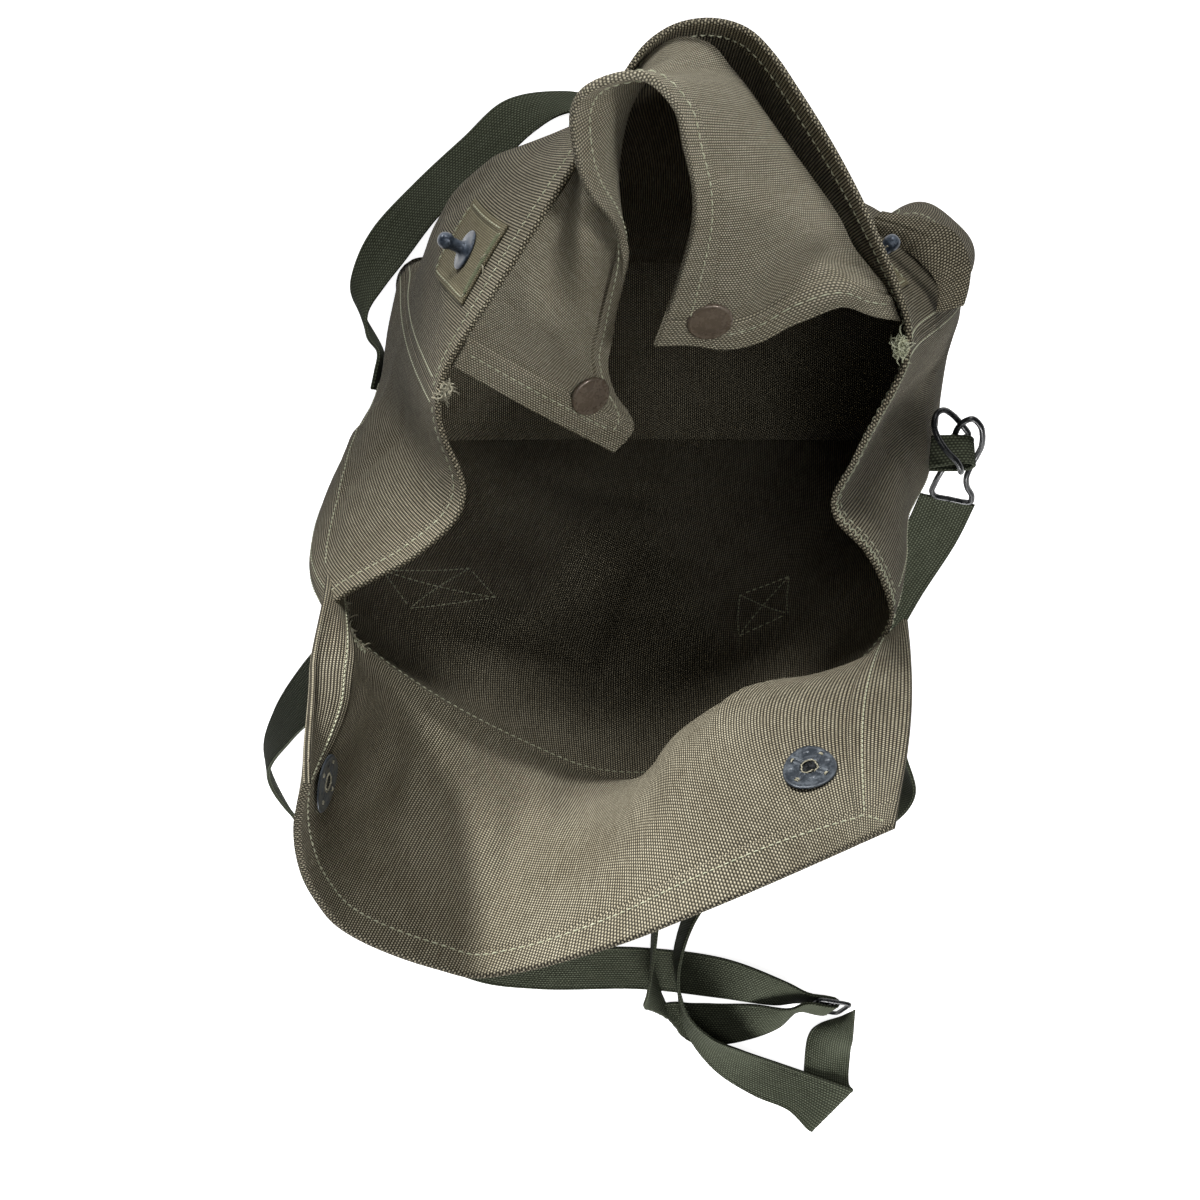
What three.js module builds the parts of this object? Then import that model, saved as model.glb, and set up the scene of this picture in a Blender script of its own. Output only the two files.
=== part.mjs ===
// A canvas gas mask bag, standing open on its flat bottom with its flap raised and its straps laid out.
// Millimetres, +Z up. The origin is the middle of the underside of the bottom panel.
// +Y is the front, where the studs are, -Y the back, where the flap is sewn, and +X the wearer's left.
import * as THREE from 'three';

// Cloth, webbing and the clearances left between sewn pieces
const CANVAS = 1.5;
const TWILL = 0.8;
const WEB_THICK = 1.5;
const WEB_HALF = 13;
const SEAM_GAP = 0.5;
const LAY_GAP = 0.35;
const BOTTOM = { halfWide: 132, halfDeep: 45.5, corner: 14, thick: 1.6 };

// Steps of the walls: across the front and back, across a gusset, and from the bottom seam to the rim
const WIDE_STEPS = 24;
const GUSSET_STEPS = 8;
const HEIGHT_STEPS = 10;
const CORNER_ROUNDING = 2;
const SEAM_REACH = 2;

const table = (columns, rows) =>
  rows.map((row) => Object.fromEntries(columns.map((name, k) => [name, row[k]])));

// Level sections of the walls: the four corner seams, and how far each gusset is tucked inward
const CORNERS = table(
  ['z', 'flX', 'flY', 'frX', 'frY', 'blX', 'blY', 'brX', 'brY', 'tuckLeft', 'tuckRight'],
  [
    [2.2, -132, 45, 132, 45, -132, -45, 132, -45, 0, 0],
    [45, -124, 37, 133, 41, -141, -45, 127, -47, -4, 1],
    [95, -116, 27, 128, 37, -151, -49, 116, -52, 0, 6],
    [145, -107, 18, 113, 32, -155, -56, 99, -58, 6, 11],
    [195, -98, 12, 90, 26, -151, -64, 91, -66, 16, 19],
    [235, -92, 9, 79, 22, -137, -67, 79, -71, 26, 23],
  ],
);

// The same sections' bows: the apex of each wide wall, its rise above the seams, the width of its flat
// top, and how far its two legs swell outward of a straight line
const FRONT_BOW = table(
  ['z', 'x', 'y', 'rise', 'flat', 'first', 'second'],
  [
    [2.2, 0, 44, 0, 60, 0, 0],
    [45, -3, 68, 0, 50, 13, 6],
    [95, -4, 88, 2, 42, 28, 12],
    [145, -4, 103, 5, 34, 29, 6],
    [195, -2, 115, 12, 28, 15, -2],
    [235, -1, 128, 26, 28, -2, 5],
  ],
);
const BACK_BOW = table(
  ['z', 'x', 'y', 'rise', 'flat', 'first', 'second'],
  [
    [2.2, 0, -44, 0, 60, 0, 0],
    [45, -10, -68, 0, 60, 4, 4],
    [95, -14, -92, -4, 50, 6, 6],
    [145, -17, -113, -12, 42, 8, 7],
    [195, -19, -132, -22, 34, 10, 12],
    [235, -20, -147, -30, 30, 12, 8],
  ],
);

// Soft vertical folds of the walls: place across the wall, half width, depth outward, and height span
const FOLDS = table(
  ['wall', 'across', 'half', 'depth', 'low', 'high'],
  [
    ['back', 0.55, 0.05, 7, 0.25, 0.8],
    ['front', 0.2, 0.06, -4, 0.15, 0.6],
    ['front', 0.8, 0.06, -4, 0.1, 0.5],
    ['right', 0.45, 0.2, -5, 0.35, 0.85],
    ['left', 0.5, 0.2, -4, 0.1, 0.5],
  ],
);

// The flap's free hem from its left to its right corner, and how far the flap swells in over the mouth
const FLAP_STEPS = 9;
// The flap is wider than the drawn-in rim: how far its root runs straight on past each back seam, and
// how many steps of it are straight
const FLAP_OVERHANG = { right: 0.5, left: 8 };
const FLAP_STRAIGHT = 2;
const FLAP_HEM = table(
  ['s', 'x', 'y', 'z', 'swell'],
  [
    [0, -111, -81, 372, 0],
    [0.09, -117, -98, 366, -2],
    [0.17, -118, -118, 355, -4],
    [0.28, -107, -141, 345, -4],
    [0.44, -70, -162, 331, 4],
    [0.58, -32, -154, 330, 20],
    [0.72, -1, -138.5, 335, 34],
    [0.86, 28, -119.5, 345, 32],
    [1, 52, -99, 360, -4],
  ],
);

// The inner flap's free edge from its left corner, up over its standing loop, to its right corner
const INNER_STEPS = 7;
const INNER_DROP = 6;
const INNER_CROWN = 5;
const INNER_EDGE = table(
  ['s', 'x', 'y', 'z'],
  [
    [0, -27, -19, 190],
    [0.05, -19.5, -7.6, 193.3],
    [0.11, -29, 9, 206],
    [0.2, -27, 31, 225],
    [0.32, -23, 56, 254],
    [0.4, -28, 67, 268],
    [0.48, -37, 79, 286],
    [0.55, -40, 98, 304],
    [0.59, -35, 104, 311],
    [0.63, -23, 107, 315],
    [0.66, -14, 104, 313],
    [0.71, -9, 92, 307],
    [0.8, -4, 71, 291],
    [0.9, -8, 48, 268],
    [1, -14, 27, 248],
  ],
);

// The pocket on the right end of the front wall: its span, its depth, and the band of cloth over its
// mouth, which is sewn at its two ends and stands off the wall between them
const POCKET = { from: 0.835, to: 0.98, low: 0.2, high: 0.65, depth: 13, steps: 8 };
const POCKET_FLAP = { from: 0.825, to: 0.985, along: 0.715, steps: 4, crown: 3 };
const POCKET_FLAP_SPAN = table(
  ['t', 'stand', 'reach', 'drop'],
  [
    [0, 1.6, 8, 0],
    [0.25, 5, 12, 2],
    [0.5, 7, 16, 4],
    [0.75, 7, 13, 6],
    [1, 1.6, 9, 6],
  ],
);

// Places of the fasteners, as fractions across and along the piece that carries them
const STUD_PLACES = { left: [0.165, 0.84], right: [0.872, 0.84] };
const STUD_PATCH = { across: 0.055, along: 0.09, steps: 4 };
const SOCKET_PLACES = { left: [0.08, 0.79], right: [0.915, 0.735] };
// Gaps from the curved flap to the flat seats of its sockets and plates
const PLATE_GAPS = { left: { socket: 0.7, plate: 1.15 }, right: { socket: 1.4, plate: 0.7 } };
const SNAP_PLACES = { left: [0.06, 0.715], right: [0.955, 0.8] };

// Turned sizes: radius and height along the axis, from the seat outward
const ROUND_SIDES = 16;
const STUD_PROFILE = [
  [0, 0], [7.5, 0], [7.5, 1], [3, 1.8], [2.3, 3.2], [2.3, 6], [3, 7.6], [2.6, 9.6], [1.4, 10.8], [0, 11.2],
];
const SNAP_PROFILE = [[0, 0], [7.4, 0], [7.7, 0.8], [7, 1.7], [4, 2.5], [0, 2.8]];
const PLATE = { wide: 17, tall: 19.5, taper: 0.14, thick: 0.8, hole: 3 };
const SOCKET = { wide: 16, tall: 19, taper: 0.14, thick: 3.2, hole: 3.2 };

// Webbing routes laid by hand: the middle of the webbing, the heading and tilt of its width in degrees,
// and half the length of the row, which is longer along a slanting crease
const ROUTE = ['x', 'y', 'z', 'heading', 'tilt', 'half'];
const SHOULDER_ROUTE = table(ROUTE, [
  [-128, -98, 160, -62, 30, WEB_HALF],
  [-157, -133, 126, -40, 40, WEB_HALF],
  [-181, -165, 92, -30, 58, WEB_HALF],
  [-197, -197, 60, -20, 74, WEB_HALF],
  [-193, -230, 36, 10, 68, WEB_HALF],
  [-170, -272, 17, 32, 42, WEB_HALF],
  [-138, -312, 4.5, 45, 12, WEB_HALF],
  [-99, -336, 1, 72, 0, WEB_HALF],
  [-65, -341, 1, 86, 0, WEB_HALF],
  [-10, -341, 1, 93, 0, WEB_HALF],
  [36, -345, 5, 84, 6, WEB_HALF],
  [68, -351, 11, 80, 32, WEB_HALF],
]);
const TAIL_ROUTE = table(ROUTE, [
  [70, -367, 10, 80, 36, WEB_HALF],
  [52, -373, 4, 82, 10, WEB_HALF],
  [34, -376, 1, 90, 0, WEB_HALF],
  [13, -374, 1, 110, 0, WEB_HALF],
  [0, -362, 10, 140, 40, WEB_HALF],
  [-4, -342, 16, 165, 80, WEB_HALF],
  [-3, -318, 16, 180, 90, WEB_HALF],
  [1, -285, 14, 180, 88, WEB_HALF],
  [9, -245, 17, 180, 70, WEB_HALF],
  [20, -205, 36, 182, 45, WEB_HALF],
  [32, -168, 68, 190, 25, WEB_HALF],
  [42, -136, 104, 200, 10, WEB_HALF],
]);
const HOOK_ROUTE = table(ROUTE, [
  [127, -60.4, 80, -12, 0, WEB_HALF],
  [122, -80, 70, -6, 6, WEB_HALF],
  [109, -114, 52, -8, 20, WEB_HALF],
  [104, -146, 34, 0, 48, WEB_HALF],
  [112, -178, 20, 8, 72, WEB_HALF],
  [126, -206, 14, 10, 88, WEB_HALF],
  [132, -227, 14, 15, 90, WEB_HALF],
  [122, -242, 14, -20, 90, WEB_HALF],
  [96, -253, 14, -58, 90, WEB_HALF],
  [58, -268, 14, -68, 90, WEB_HALF],
  [24, -290, 14.5, -50, 90, WEB_HALF],
  [10, -327, 17, 0, 88, WEB_HALF],
  [13, -352, 17, 15, 84, WEB_HALF],
  [22, -373, 15, 30, 56, WEB_HALF],
  [40, -394, 8.5, 50, 24, WEB_HALF],
  [62, -409, 4, 60, 4, WEB_HALF],
  [82, -418, 3.4, 62, 0, 13.4],
  [99, -429, 3.2, 50, 0, 18],
  [101.4, -430.9, 2.1, 50, 0, 18],
  [99, -429, 1, 50, 0, 18],
  [97, -398, 1.2, 14, 0, 13.4],
  [98, -378, 8, 8, 36, WEB_HALF],
]);
const WAIST_ROUTE = table(ROUTE, [
  [-145, 14, 22, -55, 70, WEB_HALF],
  [-149, 26, 15, -42, 56, WEB_HALF],
  [-144, 38.5, 10.5, -36, 42, WEB_HALF],
  [-135, 52, 8.5, -46, 30, WEB_HALF],
  [-114, 75, 10, -44, 40, WEB_HALF],
  [-91, 94, 9, -48, 34, WEB_HALF],
  [-70, 112, 10, -46, 38, WEB_HALF],
  [-48, 118, 13.5, -80, 66, WEB_HALF],
  [-25, 116, 13.5, -92, 74, WEB_HALF],
  [5, 112, 8, -98, 38, WEB_HALF],
  [38, 104, 1, -104, 0, WEB_HALF],
  [62, 98, 1, -105, 0, WEB_HALF],
]);
const WEB_STEP = 9;

// The slide buckle stands in the webbing near the fold: its middle, sizes, and the way the webbing runs
const BUCKLE = { at: [94, -357, 14.5], wide: 33, deep: 20, thick: 2.2, bar: 2.6, heading: 80, tilt: 50 };
const HOOK_END = { past: 1.5, out: 2 };

// The shoulder strap's turn over the buckle's middle bar and back under its frame
const BUCKLE_TURN = table(['ahead', 'out'], [
  [-14, -2.5],
  [-3, -2.5],
  [1.6, -1.9],
  [2.9, 0],
  [1.6, 1.9],
  [-3, 2.5],
  [-14, 2.5],
]);

// The webbing loop on the right gusset: its seat, the lean of its width, and its outline off the gusset
const TAB_PLACE = { across: 0.78, along: 0.455 };
const TAB_LEAN = -30;
const TAB_HALF = 6.5;
const TAB_FOOT = 2.1;
const TAB_STRAIGHT = 14;
const TAB_STEPS = 20;
const TAB_PROFILE = table(
  ['t', 'out', 'lift'],
  [
    [0, 0, -2],
    [0.2, 8, -4],
    [0.35, 13.5, -4.75],
    [0.44, 17, -3.5],
    [0.5, 18.5, 0],
    [0.56, 17, 3.5],
    [0.65, 13.5, 4.75],
    [0.8, 8, 4],
    [1, 0, 2],
  ],
);

// The wire hook: from the middle of the bar that holds the webbing, up behind the tab, round a loop and down
// through the tab, round a second loop, and back to the bar
const WIRE_RADIUS = 1.1;
const WIRE_SIDES = 8;
const WIRE_STEPS = 110;
const HOOK_WIRE = table(
  ['x', 'y', 'z'],
  [
    [128.5, -59, 80.5],
    [121.6, -57.5, 80.9],
    [119.2, -54.6, 83.5],
    [119.2, -50.5, 88],
    [119.6, -46.5, 92.5],
    [121, -41.5, 96.3],
    [124, -35, 96.3],
    [127.3, -28.5, 98.6],
    [129.5, -26, 103],
    [125.2, -20.7, 106],
    [120.7, -16.4, 109],
    [116, -13.8, 112],
    [112.3, -15.1, 115],
    [110.9, -19.5, 117.5],
    [112.6, -24.8, 119],
    [116.9, -30.8, 119.5],
    [121, -34.7, 119.5],
    [123.2, -38, 118],
    [124.4, -40.3, 114.5],
    [124.5, -39, 111],
    [122, -33, 108],
    [121.2, -27.4, 104.9],
    [122.6, -26, 105.5],
    [122.7, -22.6, 109.5],
    [123.5, -20.2, 112],
    [125.1, -18.2, 114],
    [128.1, -17.3, 114.5],
    [131.8, -20.5, 113.5],
    [133.7, -24.8, 110.5],
    [135, -30.5, 105],
    [134.8, -35.7, 99],
    [133.2, -40.9, 96],
    [132.1, -46.4, 93.5],
    [133.8, -51.7, 89],
    [137.2, -56.5, 84.5],
    [137.6, -60.2, 81.2],
    [134.5, -60.3, 80.5],
    [131.5, -59.7, 80.5],
  ],
);

const CANVAS_LOOK = { color: 0x6d6553, roughness: 0.95, metalness: 0 };
const TWILL_LOOK = { color: 0x5d5f45, roughness: 0.95, metalness: 0 };
const WEB_LOOK = { color: 0x3b4232, roughness: 0.9, metalness: 0 };
const STEEL_LOOK = { color: 0x4c5866, roughness: 0.45, metalness: 0.7 };
const BLACK_LOOK = { color: 0x15191c, roughness: 0.4, metalness: 0.5 };
const CAP_LOOK = { color: 0x6b5a4a, roughness: 0.4, metalness: 0.3 };

const vec = (x, y, z) => new THREE.Vector3(x, y, z);
const radians = THREE.MathUtils.degToRad;
const fraction = (k, steps) => k / steps;
const steps = (count) => Array.from({ length: count + 1 }, (_, k) => k);

// Every column of a table at a value of its key: a cubic through the rows with central slopes
function lookUp(rows, key, at) {
  const last = rows.length - 1;
  let k = 0;
  while (k < last - 1 && at > rows[k + 1][key]) k += 1;
  const span = rows[k + 1][key] - rows[k][key];
  const t = (at - rows[k][key]) / span;
  const slope = (j, name) => {
    const low = rows[Math.max(j - 1, 0)];
    const high = rows[Math.min(j + 1, last)];
    return ((high[name] - low[name]) / (high[key] - low[key])) * span;
  };
  const found = {};
  for (const name of Object.keys(rows[0])) {
    const rise = rows[k + 1][name] - rows[k][name];
    const leave = slope(k, name);
    const arrive = slope(k + 1, name);
    const square = 3 * rise - 2 * leave - arrive;
    const cube = leave + arrive - 2 * rise;
    found[name] = rows[k][name] + t * (leave + t * (square + t * cube));
  }
  return found;
}

// A bowed wall at one level: two swelling legs that climb to a flat top
function bowPoint(start, end, bow, z, s) {
  const chord = end.clone().sub(start).normalize();
  const apex = vec(bow.x, bow.y, 0);
  const topStart = apex.clone().addScaledVector(chord, -bow.flat / 2);
  const topEnd = apex.clone().addScaledVector(chord, bow.flat / 2);
  const first = start.distanceTo(topStart);
  const second = topEnd.distanceTo(end);
  const run = s * (first + bow.flat + second);
  const leg = (from, to, t, swell, climb) => {
    const way = to.clone().sub(from).normalize();
    const outward = vec(-way.y, way.x, 0);
    const place = from.clone().lerp(to, t).addScaledVector(outward, swell * Math.sin(Math.PI * t));
    place.z = z + bow.rise * Math.sin((Math.PI / 2) * climb);
    return place;
  };
  if (run < first) return leg(start, topStart, run / first, bow.first, run / first);
  if (run < first + bow.flat) return leg(topStart, topEnd, (run - first) / bow.flat, 0, 1);
  const t = (run - first - bow.flat) / second;
  return leg(topEnd, end, t, bow.second, 1 - t);
}

// A gusset at one level: a line between two seams, tucked inward in the middle
function gussetPoint(start, end, tuck, z, s) {
  const way = end.clone().sub(start).normalize();
  const inward = vec(way.y, -way.x, 0);
  const place = start.clone().lerp(end, s).addScaledVector(inward, tuck * Math.sin(Math.PI * s));
  place.z = z;
  return place;
}

// Steps along a loop from a column to the nearest corner seam
function seamDistance(column) {
  const loopSteps = 2 * (WIDE_STEPS + GUSSET_STEPS);
  const seams = [0, WIDE_STEPS, WIDE_STEPS + GUSSET_STEPS, 2 * WIDE_STEPS + GUSSET_STEPS, loopSteps];
  return Math.min(...seams.map((seam) => Math.abs(column - seam)));
}

// One level loop of the walls, clockwise from above, with its corners rounded by averaging neighbours
function levelLoop(z) {
  const seam = lookUp(CORNERS, 'z', z);
  const front = lookUp(FRONT_BOW, 'z', z);
  const back = lookUp(BACK_BOW, 'z', z);
  const frontLeft = vec(seam.flX, seam.flY, 0);
  const frontRight = vec(seam.frX, seam.frY, 0);
  const backRight = vec(seam.brX, seam.brY, 0);
  const backLeft = vec(seam.blX, seam.blY, 0);
  const wide = (from, to, bow) => (k) => bowPoint(from, to, bow, z, fraction(k, WIDE_STEPS));
  const side = (from, to, tuck) => (k) => gussetPoint(from, to, tuck, z, fraction(k, GUSSET_STEPS));
  const open = (count) => steps(count).slice(0, count);
  let loop = [
    ...open(WIDE_STEPS).map(wide(frontLeft, frontRight, front)),
    ...open(GUSSET_STEPS).map(side(frontRight, backRight, seam.tuckRight)),
    ...open(WIDE_STEPS).map(wide(backRight, backLeft, back)),
    ...open(GUSSET_STEPS).map(side(backLeft, frontLeft, seam.tuckLeft)),
  ];
  for (let pass = 0; pass < CORNER_ROUNDING; pass += 1) {
    loop = loop.map((place, k) => {
      if (pass > 0 && seamDistance(k) > SEAM_REACH) return place;
      const before = loop[(k + loop.length - 1) % loop.length];
      const after = loop[(k + 1) % loop.length];
      return place.clone().multiplyScalar(2).add(before).add(after).multiplyScalar(0.25);
    });
  }
  return loop;
}

// Outward directions over a grid of rows, from the differences of neighbouring points
function gridNormals(grid, closed) {
  const pick = (row, c) => {
    const count = row.length;
    return closed ? row[(c + count) % count] : row[Math.min(Math.max(c, 0), count - 1)];
  };
  return grid.map((row, r) => {
    const below = grid[Math.max(r - 1, 0)];
    const above = grid[Math.min(r + 1, grid.length - 1)];
    return row.map((_, c) => {
      const along = pick(row, c + 1).clone().sub(pick(row, c - 1));
      const up = above[c].clone().sub(below[c]);
      return up.cross(along).normalize();
    });
  });
}

// Where each wall lies on the loops
const WALL_SPAN = {
  front: [0, WIDE_STEPS],
  right: [WIDE_STEPS, WIDE_STEPS + GUSSET_STEPS],
  back: [WIDE_STEPS + GUSSET_STEPS, 2 * WIDE_STEPS + GUSSET_STEPS],
  left: [2 * WIDE_STEPS + GUSSET_STEPS, 2 * WIDE_STEPS + 2 * GUSSET_STEPS],
};

// How far the folds push a point of the walls outward
function foldDepth(column, height) {
  let depth = 0;
  for (const fold of FOLDS) {
    const [from, to] = WALL_SPAN[fold.wall];
    const across = ((column - from) / (to - from) - fold.across) / fold.half;
    const inside = (height - fold.low) / (fold.high - fold.low);
    const fade = inside > 0 && inside < 1 ? Math.sin(Math.PI * inside) : 0;
    depth += fold.depth * Math.exp(-across * across) * fade;
  }
  return depth;
}

// The walls as one grid of level loops, folds included
const BOTTOM_Z = CORNERS[0].z;
const RIM_Z = CORNERS[CORNERS.length - 1].z;
const plainWalls = steps(HEIGHT_STEPS).map((r) =>
  levelLoop(BOTTOM_Z + (RIM_Z - BOTTOM_Z) * fraction(r, HEIGHT_STEPS)));
const plainNormals = gridNormals(plainWalls, true);
const wallGrid = plainWalls.map((row, r) => row.map((place, c) =>
  place.clone().addScaledVector(plainNormals[r][c], foldDepth(c, fraction(r, HEIGHT_STEPS)))));
const wallNormals = gridNormals(wallGrid, true);

// The part of the walls between two seams, as points and outward directions
function wallSheet(name) {
  const [from, to] = WALL_SPAN[name];
  const columns = steps(to - from).map((k) => (from + k) % wallGrid[0].length);
  return {
    points: wallGrid.map((row) => columns.map((c) => row[c].clone())),
    normals: wallNormals.map((row) => columns.map((c) => row[c].clone())),
  };
}

// Draw a sheet's two side edges back by half a seam gap
function drawBackSides(sheet) {
  for (const row of sheet.points) {
    const last = row.length - 1;
    const first = row[1].clone().sub(row[0]).setLength(SEAM_GAP / 2);
    const final = row[last - 1].clone().sub(row[last]).setLength(SEAM_GAP / 2);
    row[0].add(first);
    row[last].add(final);
  }
  return sheet;
}

// Draw one end row of a sheet back from its neighbour by half a seam gap
function drawBackRow(sheet, r, neighbour) {
  sheet.points[r].forEach((place, c) => {
    place.add(sheet.points[neighbour][c].clone().sub(place).setLength(SEAM_GAP / 2));
  });
  return sheet;
}

// A closed solid with the sheet's points at its middle, or lifted off them
function sheetSolid(sheet, thick, lift = 0) {
  const rows = sheet.points.length;
  const columns = sheet.points[0].length;
  const corners = [];
  for (const side of [thick / 2, -thick / 2]) {
    sheet.points.forEach((row, r) => row.forEach((place, c) => {
      const corner = place.clone().addScaledVector(sheet.normals[r][c], lift + side);
      corners.push(corner.x, corner.y, corner.z);
    }));
  }
  const outer = (r, c) => r * columns + c;
  const inner = (r, c) => rows * columns + r * columns + c;
  const faces = [];
  const quad = (a, b, c, d) => faces.push(a, b, c, a, c, d);
  for (let r = 0; r < rows - 1; r += 1) {
    for (let c = 0; c < columns - 1; c += 1) {
      quad(outer(r, c), outer(r + 1, c), outer(r + 1, c + 1), outer(r, c + 1));
      quad(inner(r, c), inner(r, c + 1), inner(r + 1, c + 1), inner(r + 1, c));
    }
    quad(outer(r, 0), inner(r, 0), inner(r + 1, 0), outer(r + 1, 0));
    const last = columns - 1;
    quad(outer(r, last), outer(r + 1, last), inner(r + 1, last), inner(r, last));
  }
  for (let c = 0; c < columns - 1; c += 1) {
    quad(outer(0, c), outer(0, c + 1), inner(0, c + 1), inner(0, c));
    const last = rows - 1;
    quad(outer(last, c), inner(last, c), inner(last, c + 1), outer(last, c + 1));
  }
  const solid = new THREE.BufferGeometry();
  solid.setAttribute('position', new THREE.Float32BufferAttribute(corners, 3));
  solid.setIndex(faces);
  return solid;
}

// The place on a sheet at a fraction across and along it, with its own axes there
function onSheet(sheet, across, along) {
  const rows = sheet.points.length - 1;
  const columns = sheet.points[0].length - 1;
  const r = Math.min(Math.floor(along * rows), rows - 1);
  const c = Math.min(Math.floor(across * columns), columns - 1);
  const fr = along * rows - r;
  const fc = across * columns - c;
  const blend = (grid) => {
    const low = grid[r][c].clone().lerp(grid[r][c + 1], fc);
    return low.lerp(grid[r + 1][c].clone().lerp(grid[r + 1][c + 1], fc), fr);
  };
  const normal = blend(sheet.normals).normalize();
  const up = sheet.points[r + 1][c].clone().sub(sheet.points[r][c]);
  up.addScaledVector(normal, -up.dot(normal)).normalize();
  return { place: blend(sheet.points), normal, up, side: normal.clone().cross(up) };
}

// A smaller sheet laid over part of another, lifted by an amount that may change over it
function coverSheet(sheet, from, to, low, high, count, lift) {
  const points = steps(count).map((r) => steps(count).map((c) => {
    const across = fraction(c, count);
    const along = fraction(r, count);
    const seat = onSheet(sheet, from + (to - from) * across, low + (high - low) * along);
    return seat.place.addScaledVector(seat.normal, lift(across, along));
  }));
  return { points, normals: gridNormals(points, false) };
}

const bag = new THREE.Group();

function add(name, geometry, look) {
  const mesh = new THREE.Mesh(geometry, new THREE.MeshStandardMaterial(look));
  mesh.name = name;
  bag.add(mesh);
  return mesh;
}

// Walls: the front, the two gussets, and the back with the flap that grows out of its rim
const frontWall = wallSheet('front');
const backWall = wallSheet('back');
const rightWall = wallSheet('right');
const leftWall = wallSheet('left');

// A row of the back wall, from right to left, with its two ends run straight on past the seams
function runOnRow(row) {
  const straight = FLAP_STRAIGHT;
  const last = row.length - 1;
  const runOn = (from, before, seam, overhang, k) => {
    const way = row[from].clone().sub(row[before]).normalize();
    const reach = row[from].distanceTo(row[seam]) + overhang;
    return row[from].clone().addScaledVector(way, (reach * k) / straight);
  };
  return row.map((place, c) => {
    const k = c - last + straight;
    if (c < straight) return runOn(straight, straight + 1, 0, FLAP_OVERHANG.right, straight - c);
    if (k > 0) return runOn(last - straight, last - straight - 1, last, FLAP_OVERHANG.left, k);
    return place.clone();
  });
}

function flapSheet() {
  const top = HEIGHT_STEPS;
  const straight = FLAP_STRAIGHT;
  const places = steps(WIDE_STEPS).map((c) => fraction(c, WIDE_STEPS));
  const root = runOnRow(backWall.points[top]);
  const below = runOnRow(backWall.points[top - 1]);
  const inward = places.map((_, c) => {
    const outward = backWall.normals[top][Math.min(Math.max(c, straight), WIDE_STEPS - straight)];
    return vec(-outward.x, -outward.y, 0).normalize();
  });
  const rows = steps(FLAP_STEPS).map((r) => root.map((start, c) => {
    const t = fraction(r, FLAP_STEPS);
    const hem = lookUp(FLAP_HEM, 's', 1 - places[c]);
    const place = start.clone().lerp(vec(hem.x, hem.y, hem.z), t);
    return place.addScaledVector(inward[c], hem.swell * Math.sin(Math.PI * t ** 0.9));
  }));
  const normals = gridNormals([below, ...rows], false).slice(1);
  const sewn = steps(WIDE_STEPS).slice(straight, WIDE_STEPS - straight + 1);
  sewn.forEach((c) => backWall.normals[top][c].copy(normals[0][c]));
  return { points: rows.map((row) => row.map((place) => place.clone())), normals };
}

const flap = flapSheet();
drawBackRow(flap, 0, 1);
drawBackRow(backWall, HEIGHT_STEPS, HEIGHT_STEPS - 1);
add('front_panel', sheetSolid(drawBackSides(frontWall), CANVAS), CANVAS_LOOK);
add('right_gusset', sheetSolid(drawBackSides(rightWall), CANVAS), CANVAS_LOOK);
add('back_panel', sheetSolid(drawBackSides(backWall), CANVAS), CANVAS_LOOK);
add('left_gusset', sheetSolid(drawBackSides(leftWall), CANVAS), CANVAS_LOOK);
add('flap', sheetSolid(flap, CANVAS), CANVAS_LOOK);

// Bottom: a flat panel with rounded corners under the walls' lowest loop
function bottomPanel() {
  const { halfWide, halfDeep, corner, thick } = BOTTOM;
  const outline = new THREE.Shape();
  outline.absarc(halfWide - corner, halfDeep - corner, corner, 0, Math.PI / 2, false);
  outline.absarc(corner - halfWide, halfDeep - corner, corner, Math.PI / 2, Math.PI, false);
  outline.absarc(corner - halfWide, corner - halfDeep, corner, Math.PI, 1.5 * Math.PI, false);
  outline.absarc(halfWide - corner, corner - halfDeep, corner, 1.5 * Math.PI, 2 * Math.PI, false);
  outline.closePath();
  return new THREE.ExtrudeGeometry(outline, { depth: thick, bevelEnabled: false, curveSegments: 6 });
}
add('bottom_panel', bottomPanel(), CANVAS_LOOK);

// Inner flap: sewn just inside the front rim and drawn up into a loop along its free edge
function innerFlapSheet() {
  const inside = steps(WIDE_STEPS).slice(1, WIDE_STEPS);
  const top = HEIGHT_STEPS;
  const root = inside.map((c) => {
    const rim = frontWall.points[top][c];
    const down = frontWall.points[top - 1][c].clone().sub(rim).setLength(INNER_DROP);
    return rim.clone().add(down).addScaledVector(frontWall.normals[top][c], -CANVAS - 2 * LAY_GAP);
  });
  const points = steps(INNER_STEPS).map((r) => root.map((start, c) => {
    const t = fraction(r, INNER_STEPS);
    const edge = lookUp(INNER_EDGE, 's', fraction(c, root.length - 1));
    const place = start.clone().lerp(vec(edge.x, edge.y, edge.z), t);
    place.z += INNER_CROWN * Math.sin(Math.PI * t);
    return place;
  }));
  return { points, normals: gridNormals(points, false) };
}
const innerFlap = innerFlapSheet();
add('inner_flap', sheetSolid(innerFlap, CANVAS), CANVAS_LOOK);

// Pocket: a pouch that swells off the front wall and stays open at its top, with a flap over its mouth
function pocketLift(across, along) {
  const round = 1 - Math.abs(2 * across - 1) ** 4;
  const foot = Math.min(1, along / 0.3);
  const swell = Math.sin((Math.PI / 2) * foot) * round;
  return CANVAS + LAY_GAP + POCKET.depth * swell;
}
const pocket = coverSheet(
  frontWall,
  POCKET.from,
  POCKET.to,
  POCKET.low,
  POCKET.high,
  POCKET.steps,
  pocketLift,
);
add('pocket', sheetSolid(pocket, CANVAS), CANVAS_LOOK);

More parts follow.
